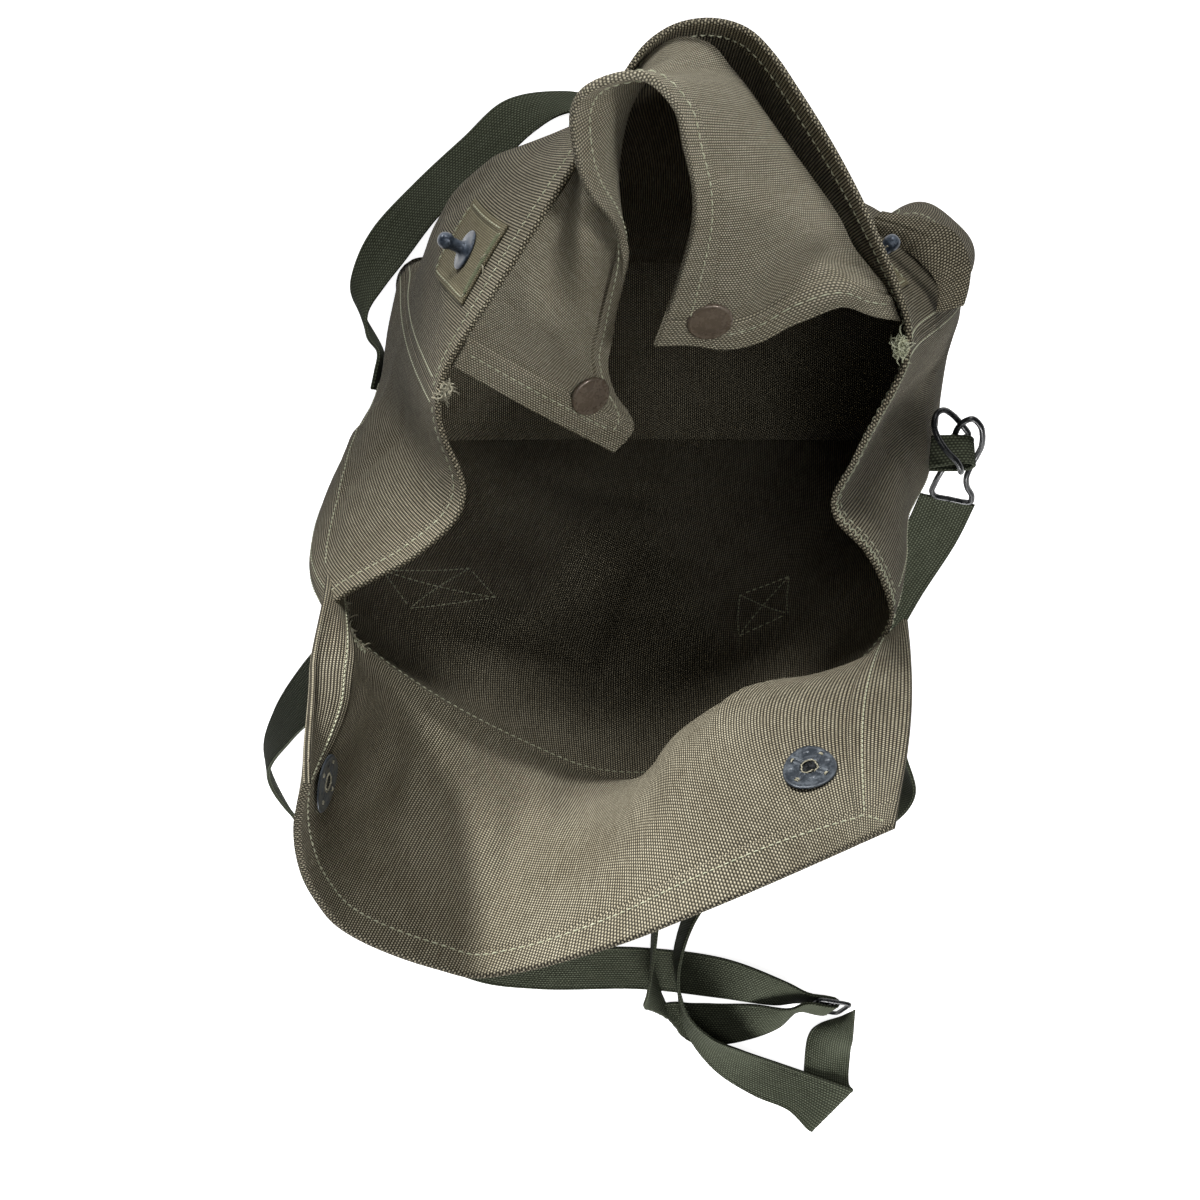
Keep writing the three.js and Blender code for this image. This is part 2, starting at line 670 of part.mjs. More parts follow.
function pocketFlapSheet() {
  const { from, to, along, steps: rows, crown } = POCKET_FLAP;
  const points = steps(rows).map((r) => steps(POCKET.steps).map((c) => {
    const across = fraction(c, POCKET.steps);
    const out = fraction(r, rows);
    const span = lookUp(POCKET_FLAP_SPAN, 't', across);
    const seat = onSheet(frontWall, from + (to - from) * across, along);
    const place = seat.place.addScaledVector(seat.normal, span.stand + span.reach * out);
    return place.addScaledVector(seat.up, crown * Math.sin(Math.PI * out) - span.drop * out);
  }));
  return { points, normals: gridNormals(points, false) };
}
add('pocket_flap', sheetSolid(pocketFlapSheet(), CANVAS), CANVAS_LOOK);

// Fasteners: turned pieces and egg-shaped plates, each seated on the cloth that carries it
const UP_Y = vec(0, 1, 0);

function turned(profile) {
  return new THREE.LatheGeometry(profile.map(([r, h]) => new THREE.Vector2(r, h)), ROUND_SIDES);
}

function seatTurned(name, profile, seat, way, lift, look) {
  const axis = seat.normal.clone().multiplyScalar(way);
  const mesh = add(name, turned(profile), look);
  mesh.position.copy(seat.place).addScaledVector(axis, lift);
  mesh.quaternion.setFromUnitVectors(UP_Y, axis);
}

function eggPlate({ wide, tall, taper, thick, hole }) {
  const outline = new THREE.Shape();
  for (let k = 0; k < 2 * ROUND_SIDES; k += 1) {
    const turn = (Math.PI * k) / ROUND_SIDES;
    const x = (wide / 2) * Math.cos(turn) * (1 + taper * Math.sin(turn));
    const y = (tall / 2) * Math.sin(turn);
    if (k === 0) outline.moveTo(x, y);
    else outline.lineTo(x, y);
  }
  outline.closePath();
  const opening = new THREE.Path();
  opening.absarc(0, 0, hole, 0, 2 * Math.PI, true);
  outline.holes.push(opening);
  return new THREE.ExtrudeGeometry(outline, { depth: thick, bevelEnabled: false, curveSegments: 6 });
}

function seatPlate(name, plate, seat, way, lift) {
  const axis = seat.normal.clone().multiplyScalar(way);
  const side = seat.up.clone().cross(axis);
  const turn = new THREE.Matrix4().makeBasis(side, seat.up, axis);
  const mesh = add(name, eggPlate(plate), STEEL_LOOK);
  mesh.quaternion.setFromRotationMatrix(turn);
  mesh.position.copy(seat.place).addScaledVector(axis, lift);
}

const PATCH_LIFT = CANVAS / 2 + 2 * LAY_GAP + TWILL / 2;
for (const side of ['left', 'right']) {
  const [across, along] = STUD_PLACES[side];
  const patch = coverSheet(
    frontWall,
    across - STUD_PATCH.across,
    across + STUD_PATCH.across,
    along - STUD_PATCH.along,
    along + STUD_PATCH.along,
    STUD_PATCH.steps,
    () => PATCH_LIFT,
  );
  add(`stud_patch_${side}`, sheetSolid(patch, TWILL), TWILL_LOOK);
  const studLift = PATCH_LIFT + TWILL / 2 + 2 * LAY_GAP;
  seatTurned(`stud_${side}`, STUD_PROFILE, onSheet(frontWall, across, along), 1, studLift, STEEL_LOOK);

  // The flap's columns run from its right to its left edge, and its outward side is the bag's outside
  const [flapAcross, flapAlong] = SOCKET_PLACES[side];
  const seat = onSheet(flap, 1 - flapAcross, flapAlong);
  seatPlate(`socket_${side}`, SOCKET, seat, 1, CANVAS / 2 + PLATE_GAPS[side].socket);
  seatPlate(`plate_${side}`, PLATE, seat, -1, CANVAS / 2 + PLATE_GAPS[side].plate);

  const [capAcross, capAlong] = SNAP_PLACES[side];
  const capSeat = onSheet(innerFlap, capAcross, capAlong);
  seatTurned(`snap_cap_${side}`, SNAP_PROFILE, capSeat, 1, CANVAS / 2 + 2 * LAY_GAP, CAP_LOOK);
}

// Webbing: a flat ribbon whose rows are spread evenly along a smooth curve through its route
const widthWay = ({ heading, tilt }) => vec(
  Math.cos(radians(tilt)) * Math.cos(radians(heading)),
  Math.cos(radians(tilt)) * Math.sin(radians(heading)),
  Math.sin(radians(tilt)),
);
const routeRow = (row) => ({
  place: vec(row.x, row.y, row.z),
  reach: widthWay(row).multiplyScalar(row.half),
});

function ribbon(rows) {
  const edge = (sign) => {
    const places = rows.map((row) => row.place.clone().addScaledVector(row.reach, sign));
    return new THREE.CatmullRomCurve3(places, false, 'centripetal');
  };
  const left = edge(1);
  const right = edge(-1);
  const points = [];
  const spans = rows.length - 1;
  rows.slice(1).forEach((row, k) => {
    const length = row.place.distanceTo(rows[k].place);
    const count = Math.max(1, Math.round(length / WEB_STEP));
    for (let j = 0; j < count; j += 1) {
      const t = (k + j / count) / spans;
      points.push([left.getPoint(t), right.getPoint(t)]);
    }
  });
  points.push([left.getPoint(1), right.getPoint(1)]);
  return sheetSolid({ points, normals: gridNormals(points, false) }, WEB_THICK);
}

// Rows of webbing sewn flat onto a sheet along a straight line across and along it
function sewnRows(sheet, from, to, count, lift) {
  return steps(count).map((k) => {
    const t = fraction(k, count);
    const across = from[0] + (to[0] - from[0]) * t;
    const along = from[1] + (to[1] - from[1]) * t;
    const seat = onSheet(sheet, across, along);
    const ahead = onSheet(sheet, across + (to[0] - from[0]) * 0.1, along + (to[1] - from[1]) * 0.1);
    const way = ahead.place.sub(seat.place).normalize();
    return {
      place: seat.place.clone().addScaledVector(seat.normal, lift),
      reach: way.cross(seat.normal).setLength(WEB_HALF),
    };
  });
}

const buckleMiddle = vec(...BUCKLE.at);
const buckleUp = widthWay(BUCKLE);
const buckleAhead = vec(Math.sin(radians(BUCKLE.heading)), -Math.cos(radians(BUCKLE.heading)), 0);
const buckleOut = buckleAhead.clone().cross(buckleUp);

// A row of webbing inside the buckle, some way ahead of its middle bar and out of its plane
const buckleRow = (ahead, out) => ({
  place: buckleMiddle.clone().addScaledVector(buckleAhead, ahead).addScaledVector(buckleOut, out),
  reach: buckleUp.clone().multiplyScalar(WEB_HALF),
});

const SEWN_LIFT = CANVAS / 2 + LAY_GAP + WEB_THICK;
const ANCHOR_LEFT = { from: [0.72, 0.52], to: [0.84, 0.66] };
const ANCHOR_RIGHT = { from: [0.27, 0.5], to: [0.26, 0.64] };
const ANCHOR_WAIST = { from: [0.35, 0.14], to: [0.55, 0.13] };
const shoulderRows = [
  ...sewnRows(backWall, ANCHOR_LEFT.from, ANCHOR_LEFT.to, 3, SEWN_LIFT),
  ...SHOULDER_ROUTE.map(routeRow),
  ...BUCKLE_TURN.map(({ ahead, out }) => buckleRow(ahead, out)),
  ...TAIL_ROUTE.map(routeRow),
  ...sewnRows(backWall, ANCHOR_RIGHT.from, ANCHOR_RIGHT.to, 3, SEWN_LIFT),
];
add('shoulder_strap', ribbon(shoulderRows), WEB_LOOK);
const hookEnd = buckleRow(BUCKLE.deep / 2 + HOOK_END.past, HOOK_END.out);
add('hook_strap', ribbon([...HOOK_ROUTE.map(routeRow), hookEnd]), WEB_LOOK);
const waistRows = [
  ...sewnRows(leftWall, ANCHOR_WAIST.from, ANCHOR_WAIST.to, 2, SEWN_LIFT),
  ...WAIST_ROUTE.map(routeRow),
];
add('waist_strap', ribbon(waistRows), WEB_LOOK);

// Slide buckle: a flat frame with two slots
function buckleFrame() {
  const { wide, deep, bar } = BUCKLE;
  const corner = bar;
  const box = (path, x0, y0, x1, y1, r) => {
    path.moveTo(x0 + r, y0);
    path.lineTo(x1 - r, y0);
    path.absarc(x1 - r, y0 + r, r, -Math.PI / 2, 0, false);
    path.absarc(x1 - r, y1 - r, r, 0, Math.PI / 2, false);
    path.absarc(x0 + r, y1 - r, r, Math.PI / 2, Math.PI, false);
    path.absarc(x0 + r, y0 + r, r, Math.PI, 1.5 * Math.PI, false);
    return path;
  };
  const outline = box(new THREE.Shape(), -deep / 2, -wide / 2, deep / 2, wide / 2, corner);
  const slot = wide / 2 - bar;
  for (const [from, to] of [[-deep / 2 + bar, -bar / 2], [bar / 2, deep / 2 - bar]]) {
    outline.holes.push(box(new THREE.Path(), from, -slot, to, slot, bar / 4));
  }
  const options = { depth: BUCKLE.thick, bevelEnabled: false, curveSegments: 3 };
  return new THREE.ExtrudeGeometry(outline, options).translate(0, 0, -BUCKLE.thick / 2);
}
const buckle = add('slide_buckle', buckleFrame(), BLACK_LOOK);
buckle.quaternion.setFromRotationMatrix(new THREE.Matrix4().makeBasis(buckleAhead, buckleUp, buckleOut));
buckle.position.copy(buckleMiddle);

// Side tab: a webbing loop that stands straight out, its two ends sewn to the right gusset
const tabSeat = onSheet(rightWall, TAB_PLACE.across, TAB_PLACE.along).place;
const tabWidth = vec(0, Math.cos(radians(TAB_LEAN)), Math.sin(radians(TAB_LEAN)));
const tabLift = vec(0, -tabWidth.z, tabWidth.y);
const gussetDeep = rightWall.points[0][0].y - rightWall.points[0][GUSSET_STEPS].y;

function tabPoint(reach, { out, lift }) {
  const offset = tabWidth.clone().multiplyScalar(reach).addScaledVector(tabLift, lift);
  const across = TAB_PLACE.across - offset.y / gussetDeep;
  const along = TAB_PLACE.along + offset.z / (RIM_Z - BOTTOM_Z);
  const foot = onSheet(rightWall, across, along);
  const place = foot.place.addScaledVector(foot.normal, TAB_FOOT);
  const standing = tabSeat.clone().add(offset).add(vec(out + TAB_FOOT, 0, 0));
  const straight = Math.min(1, out / TAB_STRAIGHT);
  return place.add(vec(out, 0, 0)).lerp(standing, straight);
}
const tabPoints = steps(TAB_STEPS).map((k) => {
  const lay = lookUp(TAB_PROFILE, 't', fraction(k, TAB_STEPS));
  return [TAB_HALF, -TAB_HALF].map((reach) => tabPoint(reach, lay));
});
const tabSheet = { points: tabPoints, normals: gridNormals(tabPoints, false) };
add('side_tab', sheetSolid(tabSheet, WEB_THICK), WEB_LOOK);

// Wire hook
const wire = new THREE.CatmullRomCurve3(HOOK_WIRE.map(({ x, y, z }) => vec(x, y, z)), false, 'centripetal');
const wireRound = new THREE.Shape();
wireRound.absarc(0, 0, WIRE_RADIUS, 0, 2 * Math.PI, false);
const wireOptions = {
  steps: WIRE_STEPS,
  extrudePath: wire,
  curveSegments: WIRE_SIDES / 2,
  bevelEnabled: false,
};
add('wire_hook', new THREE.ExtrudeGeometry(wireRound, wireOptions), BLACK_LOOK);

export default bag;
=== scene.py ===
# %% [markdown]
# # A canvas gas mask bag
# The bag stands open on its bottom. Its flap is raised behind it, its inner flap leans into the mouth and
# its webbing straps lie loose on the table. The parts library already holds a plain version of every
# piece, with the right place and size, so this lesson keeps that frame and rebuilds each piece with the
# folds, hems, stitches and finishes that the eye looks for. We work in millimetres, as a bag maker would,
# and turn them into metres only when a mesh is made.

import bpy
import numpy as np
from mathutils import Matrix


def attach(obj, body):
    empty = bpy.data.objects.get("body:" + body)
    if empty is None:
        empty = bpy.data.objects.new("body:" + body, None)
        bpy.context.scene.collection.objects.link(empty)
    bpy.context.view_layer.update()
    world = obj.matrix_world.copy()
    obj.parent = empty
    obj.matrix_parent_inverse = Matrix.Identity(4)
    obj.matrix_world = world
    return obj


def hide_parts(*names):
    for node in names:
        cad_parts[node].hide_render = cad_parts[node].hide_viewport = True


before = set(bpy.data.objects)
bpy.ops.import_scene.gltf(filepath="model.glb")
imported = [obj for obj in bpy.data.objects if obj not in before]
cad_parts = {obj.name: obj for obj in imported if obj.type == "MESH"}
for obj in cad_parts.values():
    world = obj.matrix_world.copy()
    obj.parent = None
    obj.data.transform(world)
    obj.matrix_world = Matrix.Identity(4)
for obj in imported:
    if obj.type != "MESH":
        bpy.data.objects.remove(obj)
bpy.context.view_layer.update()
MM = 0.001
print("nodes in the frame:", len(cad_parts))

# %% [markdown]
# ## Camera and light
# The picture was taken from about three quarters of a metre above the table, looking steeply down into the
# mouth of the bag, with a lens of about 45 mm. The light is soft: a large panel in front of the bag, a weak
# one overhead and a low one behind it for the straps. A panel lights everything, and the inside of a real
# bag stays dark, so two narrow beams with soft edges do what a bigger panel could not: one reaches the
# raised flap and one the inner flap, and both pass over the mouth.

# %% Camera
CAMERA_AT = np.array([-32, 74.3, 756.6]) * MM
CAMERA_TIP = np.radians(-15)
LENS = 45
SENSOR = 36

camera_data = bpy.data.cameras.new("camera")
camera_data.lens = LENS
camera_data.sensor_width = SENSOR
camera_data.clip_start = 0.01
camera = bpy.data.objects.new("camera", camera_data)
camera.location = CAMERA_AT
camera.rotation_euler = (CAMERA_TIP, 0, 0)
bpy.context.scene.collection.objects.link(camera)
bpy.context.scene.camera = camera
bpy.context.scene.view_settings.view_transform = "Standard"
print("camera at", CAMERA_AT, "m")

# %% Light
# A panel: name, place, aim and side in metres, and watts
PANELS = [
    ("key", (0.1, 1.55, 0.95), (0, 0, 0.15), 0.45, 15),
    ("overhead", (0.1, 0.05, 1.6), (0, -0.05, 0.1), 0.5, 3.5),
    ("low_fill", (0.1, -1.25, 0.42), (0.05, -0.3, 0.02), 0.5, 15),
]
# A beam: name, place and aim in metres, half angle in degrees, lamp radius in metres, and watts
BEAMS = [
    ("flap_beam", (-0.83, 1.24, 0.5), (-0.025, -0.145, 0.31), 5.6, 0.09, 170),
    ("inner_beam", (0.72, 0.12, 1.35), (-0.025, 0.065, 0.25), 5.6, 0.1, 42),
]
BEAM_BLEND = 0.8
SKY = 0.09


def aimed(name, data, at, aim):
    """Put a lamp at a place and turn its beam toward another."""
    made = bpy.data.objects.new(name, data)
    made.location = at
    way = np.array(aim) - np.array(at)
    made.rotation_euler = (np.arctan2(np.hypot(way[0], way[1]), -way[2]), 0, np.arctan2(-way[0], way[1]))
    bpy.context.scene.collection.objects.link(made)


for name, at, aim, size, watts in PANELS:
    panel = bpy.data.lights.new(name, "AREA")
    panel.size = size
    panel.energy = watts
    aimed(name, panel, at, aim)

for name, at, aim, half, size, watts in BEAMS:
    beam = bpy.data.lights.new(name, "SPOT")
    beam.spot_size = np.radians(2 * half)
    beam.spot_blend = BEAM_BLEND
    beam.shadow_soft_size = size
    beam.energy = watts
    aimed(name, beam, at, aim)

world = bpy.data.worlds.new("studio")
world.use_nodes = True
world.node_tree.nodes["Background"].inputs["Color"].default_value = (1, 1, 1, 1)
world.node_tree.nodes["Background"].inputs["Strength"].default_value = SKY
bpy.context.scene.world = world
print("lamps:", len(PANELS) + len(BEAMS))

# %% [markdown]
# ## A small language for finishes
# A finish is arithmetic on the place on the cloth. Node editors draw that arithmetic as boxes and wires;
# here one small class stands for a wire, so a weave can be written as a formula. Every cloth carries its
# own map in metres along its threads, which is what a weaver would measure along.


# %% The wire class
class Wire:
    """One output of a shader node. Arithmetic on wires adds the Math node that works it out."""

    def __init__(self, tree, socket):
        self.tree = tree
        self.socket = socket

    def node(self, kind, settings, inputs, output=0):
        """Add a node of any kind: its settings first, then the values or wires of its sockets."""
        made = self.tree.nodes.new(kind)
        for name, value in settings.items():
            setattr(made, name, value)
        for key, value in inputs.items():
            if isinstance(value, Wire):
                self.tree.links.new(value.socket, made.inputs[key])
            else:
                made.inputs[key].default_value = value
        return Wire(self.tree, made.outputs[output])

    def math(self, operation, *values):
        """One step of arithmetic on numbers or wires."""
        return self.node("ShaderNodeMath", {"operation": operation}, dict(enumerate(values)))

    def __add__(self, other):
        return self.math("ADD", self, other)

    __radd__ = __add__

    def __sub__(self, other):
        return self.math("SUBTRACT", self, other)

    def __rsub__(self, other):
        return self.math("SUBTRACT", other, self)

    def __mul__(self, other):
        return self.math("MULTIPLY", self, other)

    __rmul__ = __mul__

    def __truediv__(self, other):
        return self.math("DIVIDE", self, other)

    def between(self, low, high):
        """A smooth step from 0 at the low value to 1 at the high value."""
        settings = {"interpolation_type": "SMOOTHSTEP"}
        return self.node("ShaderNodeMapRange", settings, {0: self, 1: low, 2: high})

    def mix(self, first, second):
        """A colour between two colours, by this wire."""
        settings = {"data_type": "RGBA"}
        return self.node("ShaderNodeMix", settings, {0: self, 6: first, 7: second}, 2)

    def tint(self, colour):
        """A colour multiplied by this wire."""
        settings = {"data_type": "RGBA", "blend_type": "MULTIPLY"}
        grey = self.node("ShaderNodeCombineXYZ", {}, {0: self, 1: self, 2: self})
        return self.node("ShaderNodeMix", settings, {0: 1.0, 6: colour, 7: grey}, 2)


# %% The parts of a finish
def new_finish(name, metallic=0.0):
    """A new material, its shader, and two wires: the place in the piece's own map and in the scene."""
    made = bpy.data.materials.new(name)
    made.use_nodes = True
    tree = made.node_tree
    shader = tree.nodes["Principled BSDF"]
    shader.inputs["Metallic"].default_value = metallic
    place = tree.nodes.new("ShaderNodeTexCoord")
    return made, shader, Wire(tree, place.outputs["UV"]), Wire(tree, place.outputs["Object"])


def noise(place, scale, detail):
    """Soft random values from 0 to 1, as many to a metre as the scale says."""
    return place.node("ShaderNodeTexNoise", {}, {"Vector": place, "Scale": scale, "Detail": detail})


def connect(shader, name, wire):
    """Let a wire set one of a shader's sockets."""
    wire.tree.links.new(wire.socket, shader.inputs[name])


def bump(shader, height, distance, strength):
    """Turn a height in the range 0 to 1 into a bump of a distance in metres."""
    made = height.node("ShaderNodeBump", {}, {"Strength": strength, "Distance": distance, "Height": height})
    connect(shader, "Normal", made)


# %% [markdown]
# ## Canvas, twill and webbing
# Cotton duck is a plain weave: each weft thread passes over one warp thread and under the next, and the
# row above does the opposite. So the height of the cloth is a row of beads, moved half a bead along in
# every second row. The same height also darkens the colour: the hollows between the beads and the sides of
# each round thread are painted shade. No two threads are equally thick or faded, so stretched noise makes
# some threads paler, fine noise some beads, and coarse noise whole patches.


# %% Cloth finishes
SLUB_SCALE = 70
PATCH_SCALE = 26
BEAD_SCALE = 700
CLOTH_GLOSS = 0.12


def cloth_finish(name, dark, light, warp, bead, weave_shade, depth):
    """A plain weave: columns of beads, a squared sine across times a sine along, half on in odd columns."""
    made, shader, chart, solid = new_finish(name)
    shader.inputs["Specular IOR Level"].default_value = CLOTH_GLOSS
    across = chart.node("ShaderNodeSeparateXYZ", {}, {0: chart})
    along = chart.node("ShaderNodeSeparateXYZ", {}, {0: chart}, 1)
    column = across / (warp * MM)
    turn = column.math("FLOOR", column) * np.pi + along * (2 * np.pi / (bead * MM))
    roundness = column.math("SINE", column * np.pi)
    weave = roundness * roundness * (turn.math("SINE", turn) * 0.45 + 0.55)
    stretch = (1 / (warp * MM), SLUB_SCALE, 1)
    slub = noise(chart.node("ShaderNodeMapping", {}, {"Vector": chart, "Scale": stretch}), 1.0, 1.0)
    patches = noise(solid, PATCH_SCALE, 3.0)
    beads = noise(solid, BEAD_SCALE, 2.0)
    worn = (patches * 0.35 + beads * 0.35 + slub * 0.3).between(0.32, 0.68)
    # Painted shade: the weave's height darkens the colour in the hollows and at the sides of each thread
    shade = weave * (weave_shade * 1.9) + (1.0 - weave_shade)
    connect(shader, "Base Color", shade.tint(worn.mix(dark, light)))
    connect(shader, "Roughness", worn * 0.1 + 0.85)
    bump(shader, weave + slub * 0.35, depth * MM, 0.8)
    return made


# A cloth: name, dark and light colour, thread width and bead length in mm, strength of the painted weave
# shade, and depth in mm
CLOTHS = [
    ("canvas", (0.235, 0.205, 0.142, 1), (0.4, 0.364, 0.268, 1), 1.0, 1.25, 0.95, 0.4),
    ("fine_canvas", (0.325, 0.292, 0.208, 1), (0.48, 0.445, 0.34, 1), 0.85, 1.05, 0.8, 0.3),
    ("twill", (0.2, 0.175, 0.105, 1), (0.3, 0.27, 0.18, 1), 0.8, 0.9, 0.6, 0.2),
    ("webbing", (0.072, 0.081, 0.051, 1), (0.12, 0.134, 0.092, 1), 1.3, 1.7, 0.7, 0.35),
]
CANVAS, FINE_CANVAS, TWILL, WEBBING = [cloth_finish(*row) for row in CLOTHS]
print("cloth finishes:", len(CLOTHS))

# %% [markdown]
# ## Thread, metal and table
# Thread is pale and dull, the studs and plates are blued steel, the buckle and the hook are black, and the
# caps are brown enamel. Each is two close colours mixed by noise, as wear mixes them. The table is white and
# glows a little by itself, so that it stays plain however the lamps are set.


# %% Thread, metal and table finishes
def plain_finish(name, dark, light, roughness, metallic, scale, depth):
    """A hard finish with uneven wear: two colours mixed by noise, and a slight unevenness."""
    made, shader, _, solid = new_finish(name, metallic)
    wear = noise(solid, scale, 5.0)
    spots = noise(solid, scale * 4, 3.0)
    blend = (wear * 0.7 + spots * 0.4 - 0.05).between(0.4, 0.68)
    connect(shader, "Base Color", blend.mix(dark, light))
    connect(shader, "Roughness", blend * 0.25 + (roughness - 0.1))
    bump(shader, spots, depth * MM, 0.6)
    return made


# A finish: name, dark and light colour, roughness, metal, noise scale, and depth in mm
PLAIN = [
    ("thread", (0.4, 0.41, 0.28, 1), (0.6, 0.61, 0.46, 1), 0.85, 0.0, 900, 0.05),
    ("blue_steel", (0.03, 0.037, 0.046, 1), (0.075, 0.088, 0.103, 1), 0.42, 0.3, 260, 0.06),
    ("stud_steel", (0.018, 0.026, 0.04, 1), (0.07, 0.09, 0.12, 1), 0.38, 0.35, 300, 0.05),
    ("olive_thread", (0.11, 0.125, 0.065, 1), (0.22, 0.24, 0.14, 1), 0.85, 0.0, 900, 0.05),
    ("frayed_thread", (0.26, 0.24, 0.17, 1), (0.44, 0.42, 0.32, 1), 0.9, 0.0, 900, 0.05),
    ("black_metal", (0.005, 0.006, 0.007, 1), (0.016, 0.018, 0.02, 1), 0.35, 0.1, 300, 0.05),
    ("brown_cap", (0.155, 0.121, 0.092, 1), (0.185, 0.147, 0.113, 1), 0.3, 0.3, 240, 0.02),
    ("table", (0.9, 0.9, 0.895, 1), (0.94, 0.94, 0.935, 1), 0.8, 0.0, 6, 0.02),
]
THREAD, STEEL, STUD, TACK, FRAYED, BLACK, BROWN, TABLE = [plain_finish(*row) for row in PLAIN]
TABLE_GLOW = 0.9
glow = TABLE.node_tree.nodes["Principled BSDF"].inputs
glow["Emission Color"].default_value = (1, 1, 1, 1)
glow["Emission Strength"].default_value = TABLE_GLOW
print("finishes:", len(bpy.data.materials))

# %% [markdown]
# ## Cloth as a surface
# Every cloth here is a function of two fractions: how far across it a point lies and how far along. The
# function gives the middle of the cloth. The cloth's two faces stand off that middle by half its
# thickness, which runs down to nothing at the very edge, so every edge is rounded and both faces share its
# points. A hem is cloth folded over, so near a hemmed edge one face stands off further. A simulated cloth
# could sag by itself, but a formula puts each fold where the real bag has it.


# %% Directions and smooth steps
def unit(vectors):
    """Vectors divided by their lengths."""
    return vectors / np.maximum(np.linalg.norm(vectors, axis=-1, keepdims=True), 1e-9)


def smooth(values):
    """A smooth step of values from 0 to 1."""
    clipped = np.clip(values, 0, 1)
    return clipped * clipped * (3 - 2 * clipped)


def grid_normals(points):
    """Directions off a grid: the change along its rows crossed with the change across them."""
    return unit(np.cross(np.gradient(points, axis=0), np.gradient(points, axis=1)))


# %% Points between the rows of a coarse grid
def weights(at, count):
    """How much each of a row of points counts at fractional places: a cubic through four neighbours."""
    at = np.asarray(at, float)
    base = np.clip(np.floor(at).astype(int), 0, count - 2)
    f = at - base
    parts = [
        -0.5 * f + f**2 - 0.5 * f**3,
        1 - 2.5 * f**2 + 1.5 * f**3,
        0.5 * f + 2 * f**2 - 1.5 * f**3,
        -0.5 * f**2 + 0.5 * f**3,
    ]
    found = np.zeros((len(at), count + 2))
    for k, part in enumerate(parts):
        np.add.at(found, (np.arange(len(at)), base + k), part)
    inside = found[:, 1:-1].copy()
    inside[:, 0] += 2 * found[:, 0]
    inside[:, 1] -= found[:, 0]
    inside[:, -1] += 2 * found[:, -1]
    inside[:, -2] -= found[:, -1]
    return inside


def spread(grid, rows, columns):
    """Points of a coarse grid at every fractional row and column."""
    return np.einsum("ri,ijk,cj->rck", weights(rows, grid.shape[0]), grid, weights(columns, grid.shape[1]))


def pick(grid, rows, columns):
    """Points of a coarse grid at pairs of a fractional row and column."""
    return np.einsum("ni,ijk,nj->nk", weights(rows, grid.shape[0]), grid, weights(columns, grid.shape[1]))


# %% Places along a cloth
EDGE = np.array([0, 0.05, 0.2, 0.45, 0.75])
FOLD = np.array([-0.9, -0.35, 0.0, 0.35, 0.8, 1.4])


def stations(length, step, low_hem=0.0, high_hem=0.0):
    """Places along a cloth: even, with close ones at its rounded edges and at the fold of each hem."""
    even = np.linspace(1.2, length - 1.2, max(3, int(length / step)))
    marks = [EDGE, length - EDGE, even]
    if low_hem:
        marks.append(low_hem + FOLD)
    if high_hem:
        marks.append(length - high_hem - FOLD)
    places = np.unique(np.round(np.concatenate(marks), 4))
    keep = np.concatenate([[True], np.diff(places) > 0.04])
    return places[keep]


# %% A made cloth
class Cloth:
    """A made cloth: its middle surface, its directions and the reach of its two faces, on a grid in mm."""

    def __init__(self, middle, across, along, outer, inner):
        self.middle = middle
        self.across = across
        self.along = along
        self.outer = outer
        self.inner = inner
        self.normals = grid_normals(middle)

    def at(self, across, along, side, lift=0.0):
        """Points and outward directions on one face, at places in mm across and along the cloth."""
        def cell(places, marks):
            k = np.clip(np.searchsorted(marks, places) - 1, 0, len(marks) - 2)
            return k, np.clip((places - marks[k]) / (marks[k + 1] - marks[k]), 0, 1)
        c, fc = cell(np.asarray(across, float), self.across)
        r, fr = cell(np.asarray(along, float), self.along)

        def blend(grid):
            shape = (-1,) + (1,) * (grid.ndim - 2)
            a = fc.reshape(shape)
            b = fr.reshape(shape)
            low = grid[r, c] * (1 - a) + grid[r, c + 1] * a
            high = grid[r + 1, c] * (1 - a) + grid[r + 1, c + 1] * a
            return low * (1 - b) + high * b
        reach = blend(self.outer) if side > 0 else blend(self.inner)
        normal = unit(blend(self.normals)) * side
        return blend(self.middle) + normal * (reach + lift)[:, None], normal


# %% A mesh from points and faces
def mesh_object(name, points, faces, chart, finish):
    """A piece from points in mm and faces turned outward, with a map in metres for a cloth's corners."""
    mesh = bpy.data.meshes.new(name)
    mesh.from_pydata((points * MM).tolist(), [], faces if isinstance(faces, list) else faces.tolist())
    mesh.calc_loop_triangles()
    triangles = np.empty(3 * len(mesh.loop_triangles), dtype=np.int32)
    mesh.loop_triangles.foreach_get("vertices", triangles)
    a, b, c = points[triangles.reshape(-1, 3)].transpose(1, 0, 2)
    if chart is None and np.sum(a * np.cross(b, c)) < 0:
        mesh.flip_normals()
    layer = mesh.uv_layers.new(name="chart")
    if chart is not None:
        layer.data.foreach_set("uv", chart.astype(np.float32).ravel())
    mesh.polygons.foreach_set("use_smooth", np.ones(len(mesh.polygons), dtype=bool))
    mesh.materials.append(finish)
    made = bpy.data.objects.new(name, mesh)
    bpy.context.scene.collection.objects.link(made)
    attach(made, "root")
    return made


def grid_faces(index):
    """The quads of a grid of point numbers."""
    return np.stack([index[:-1, :-1], index[1:, :-1], index[1:, 1:], index[:-1, 1:]], axis=-1).reshape(-1, 4)


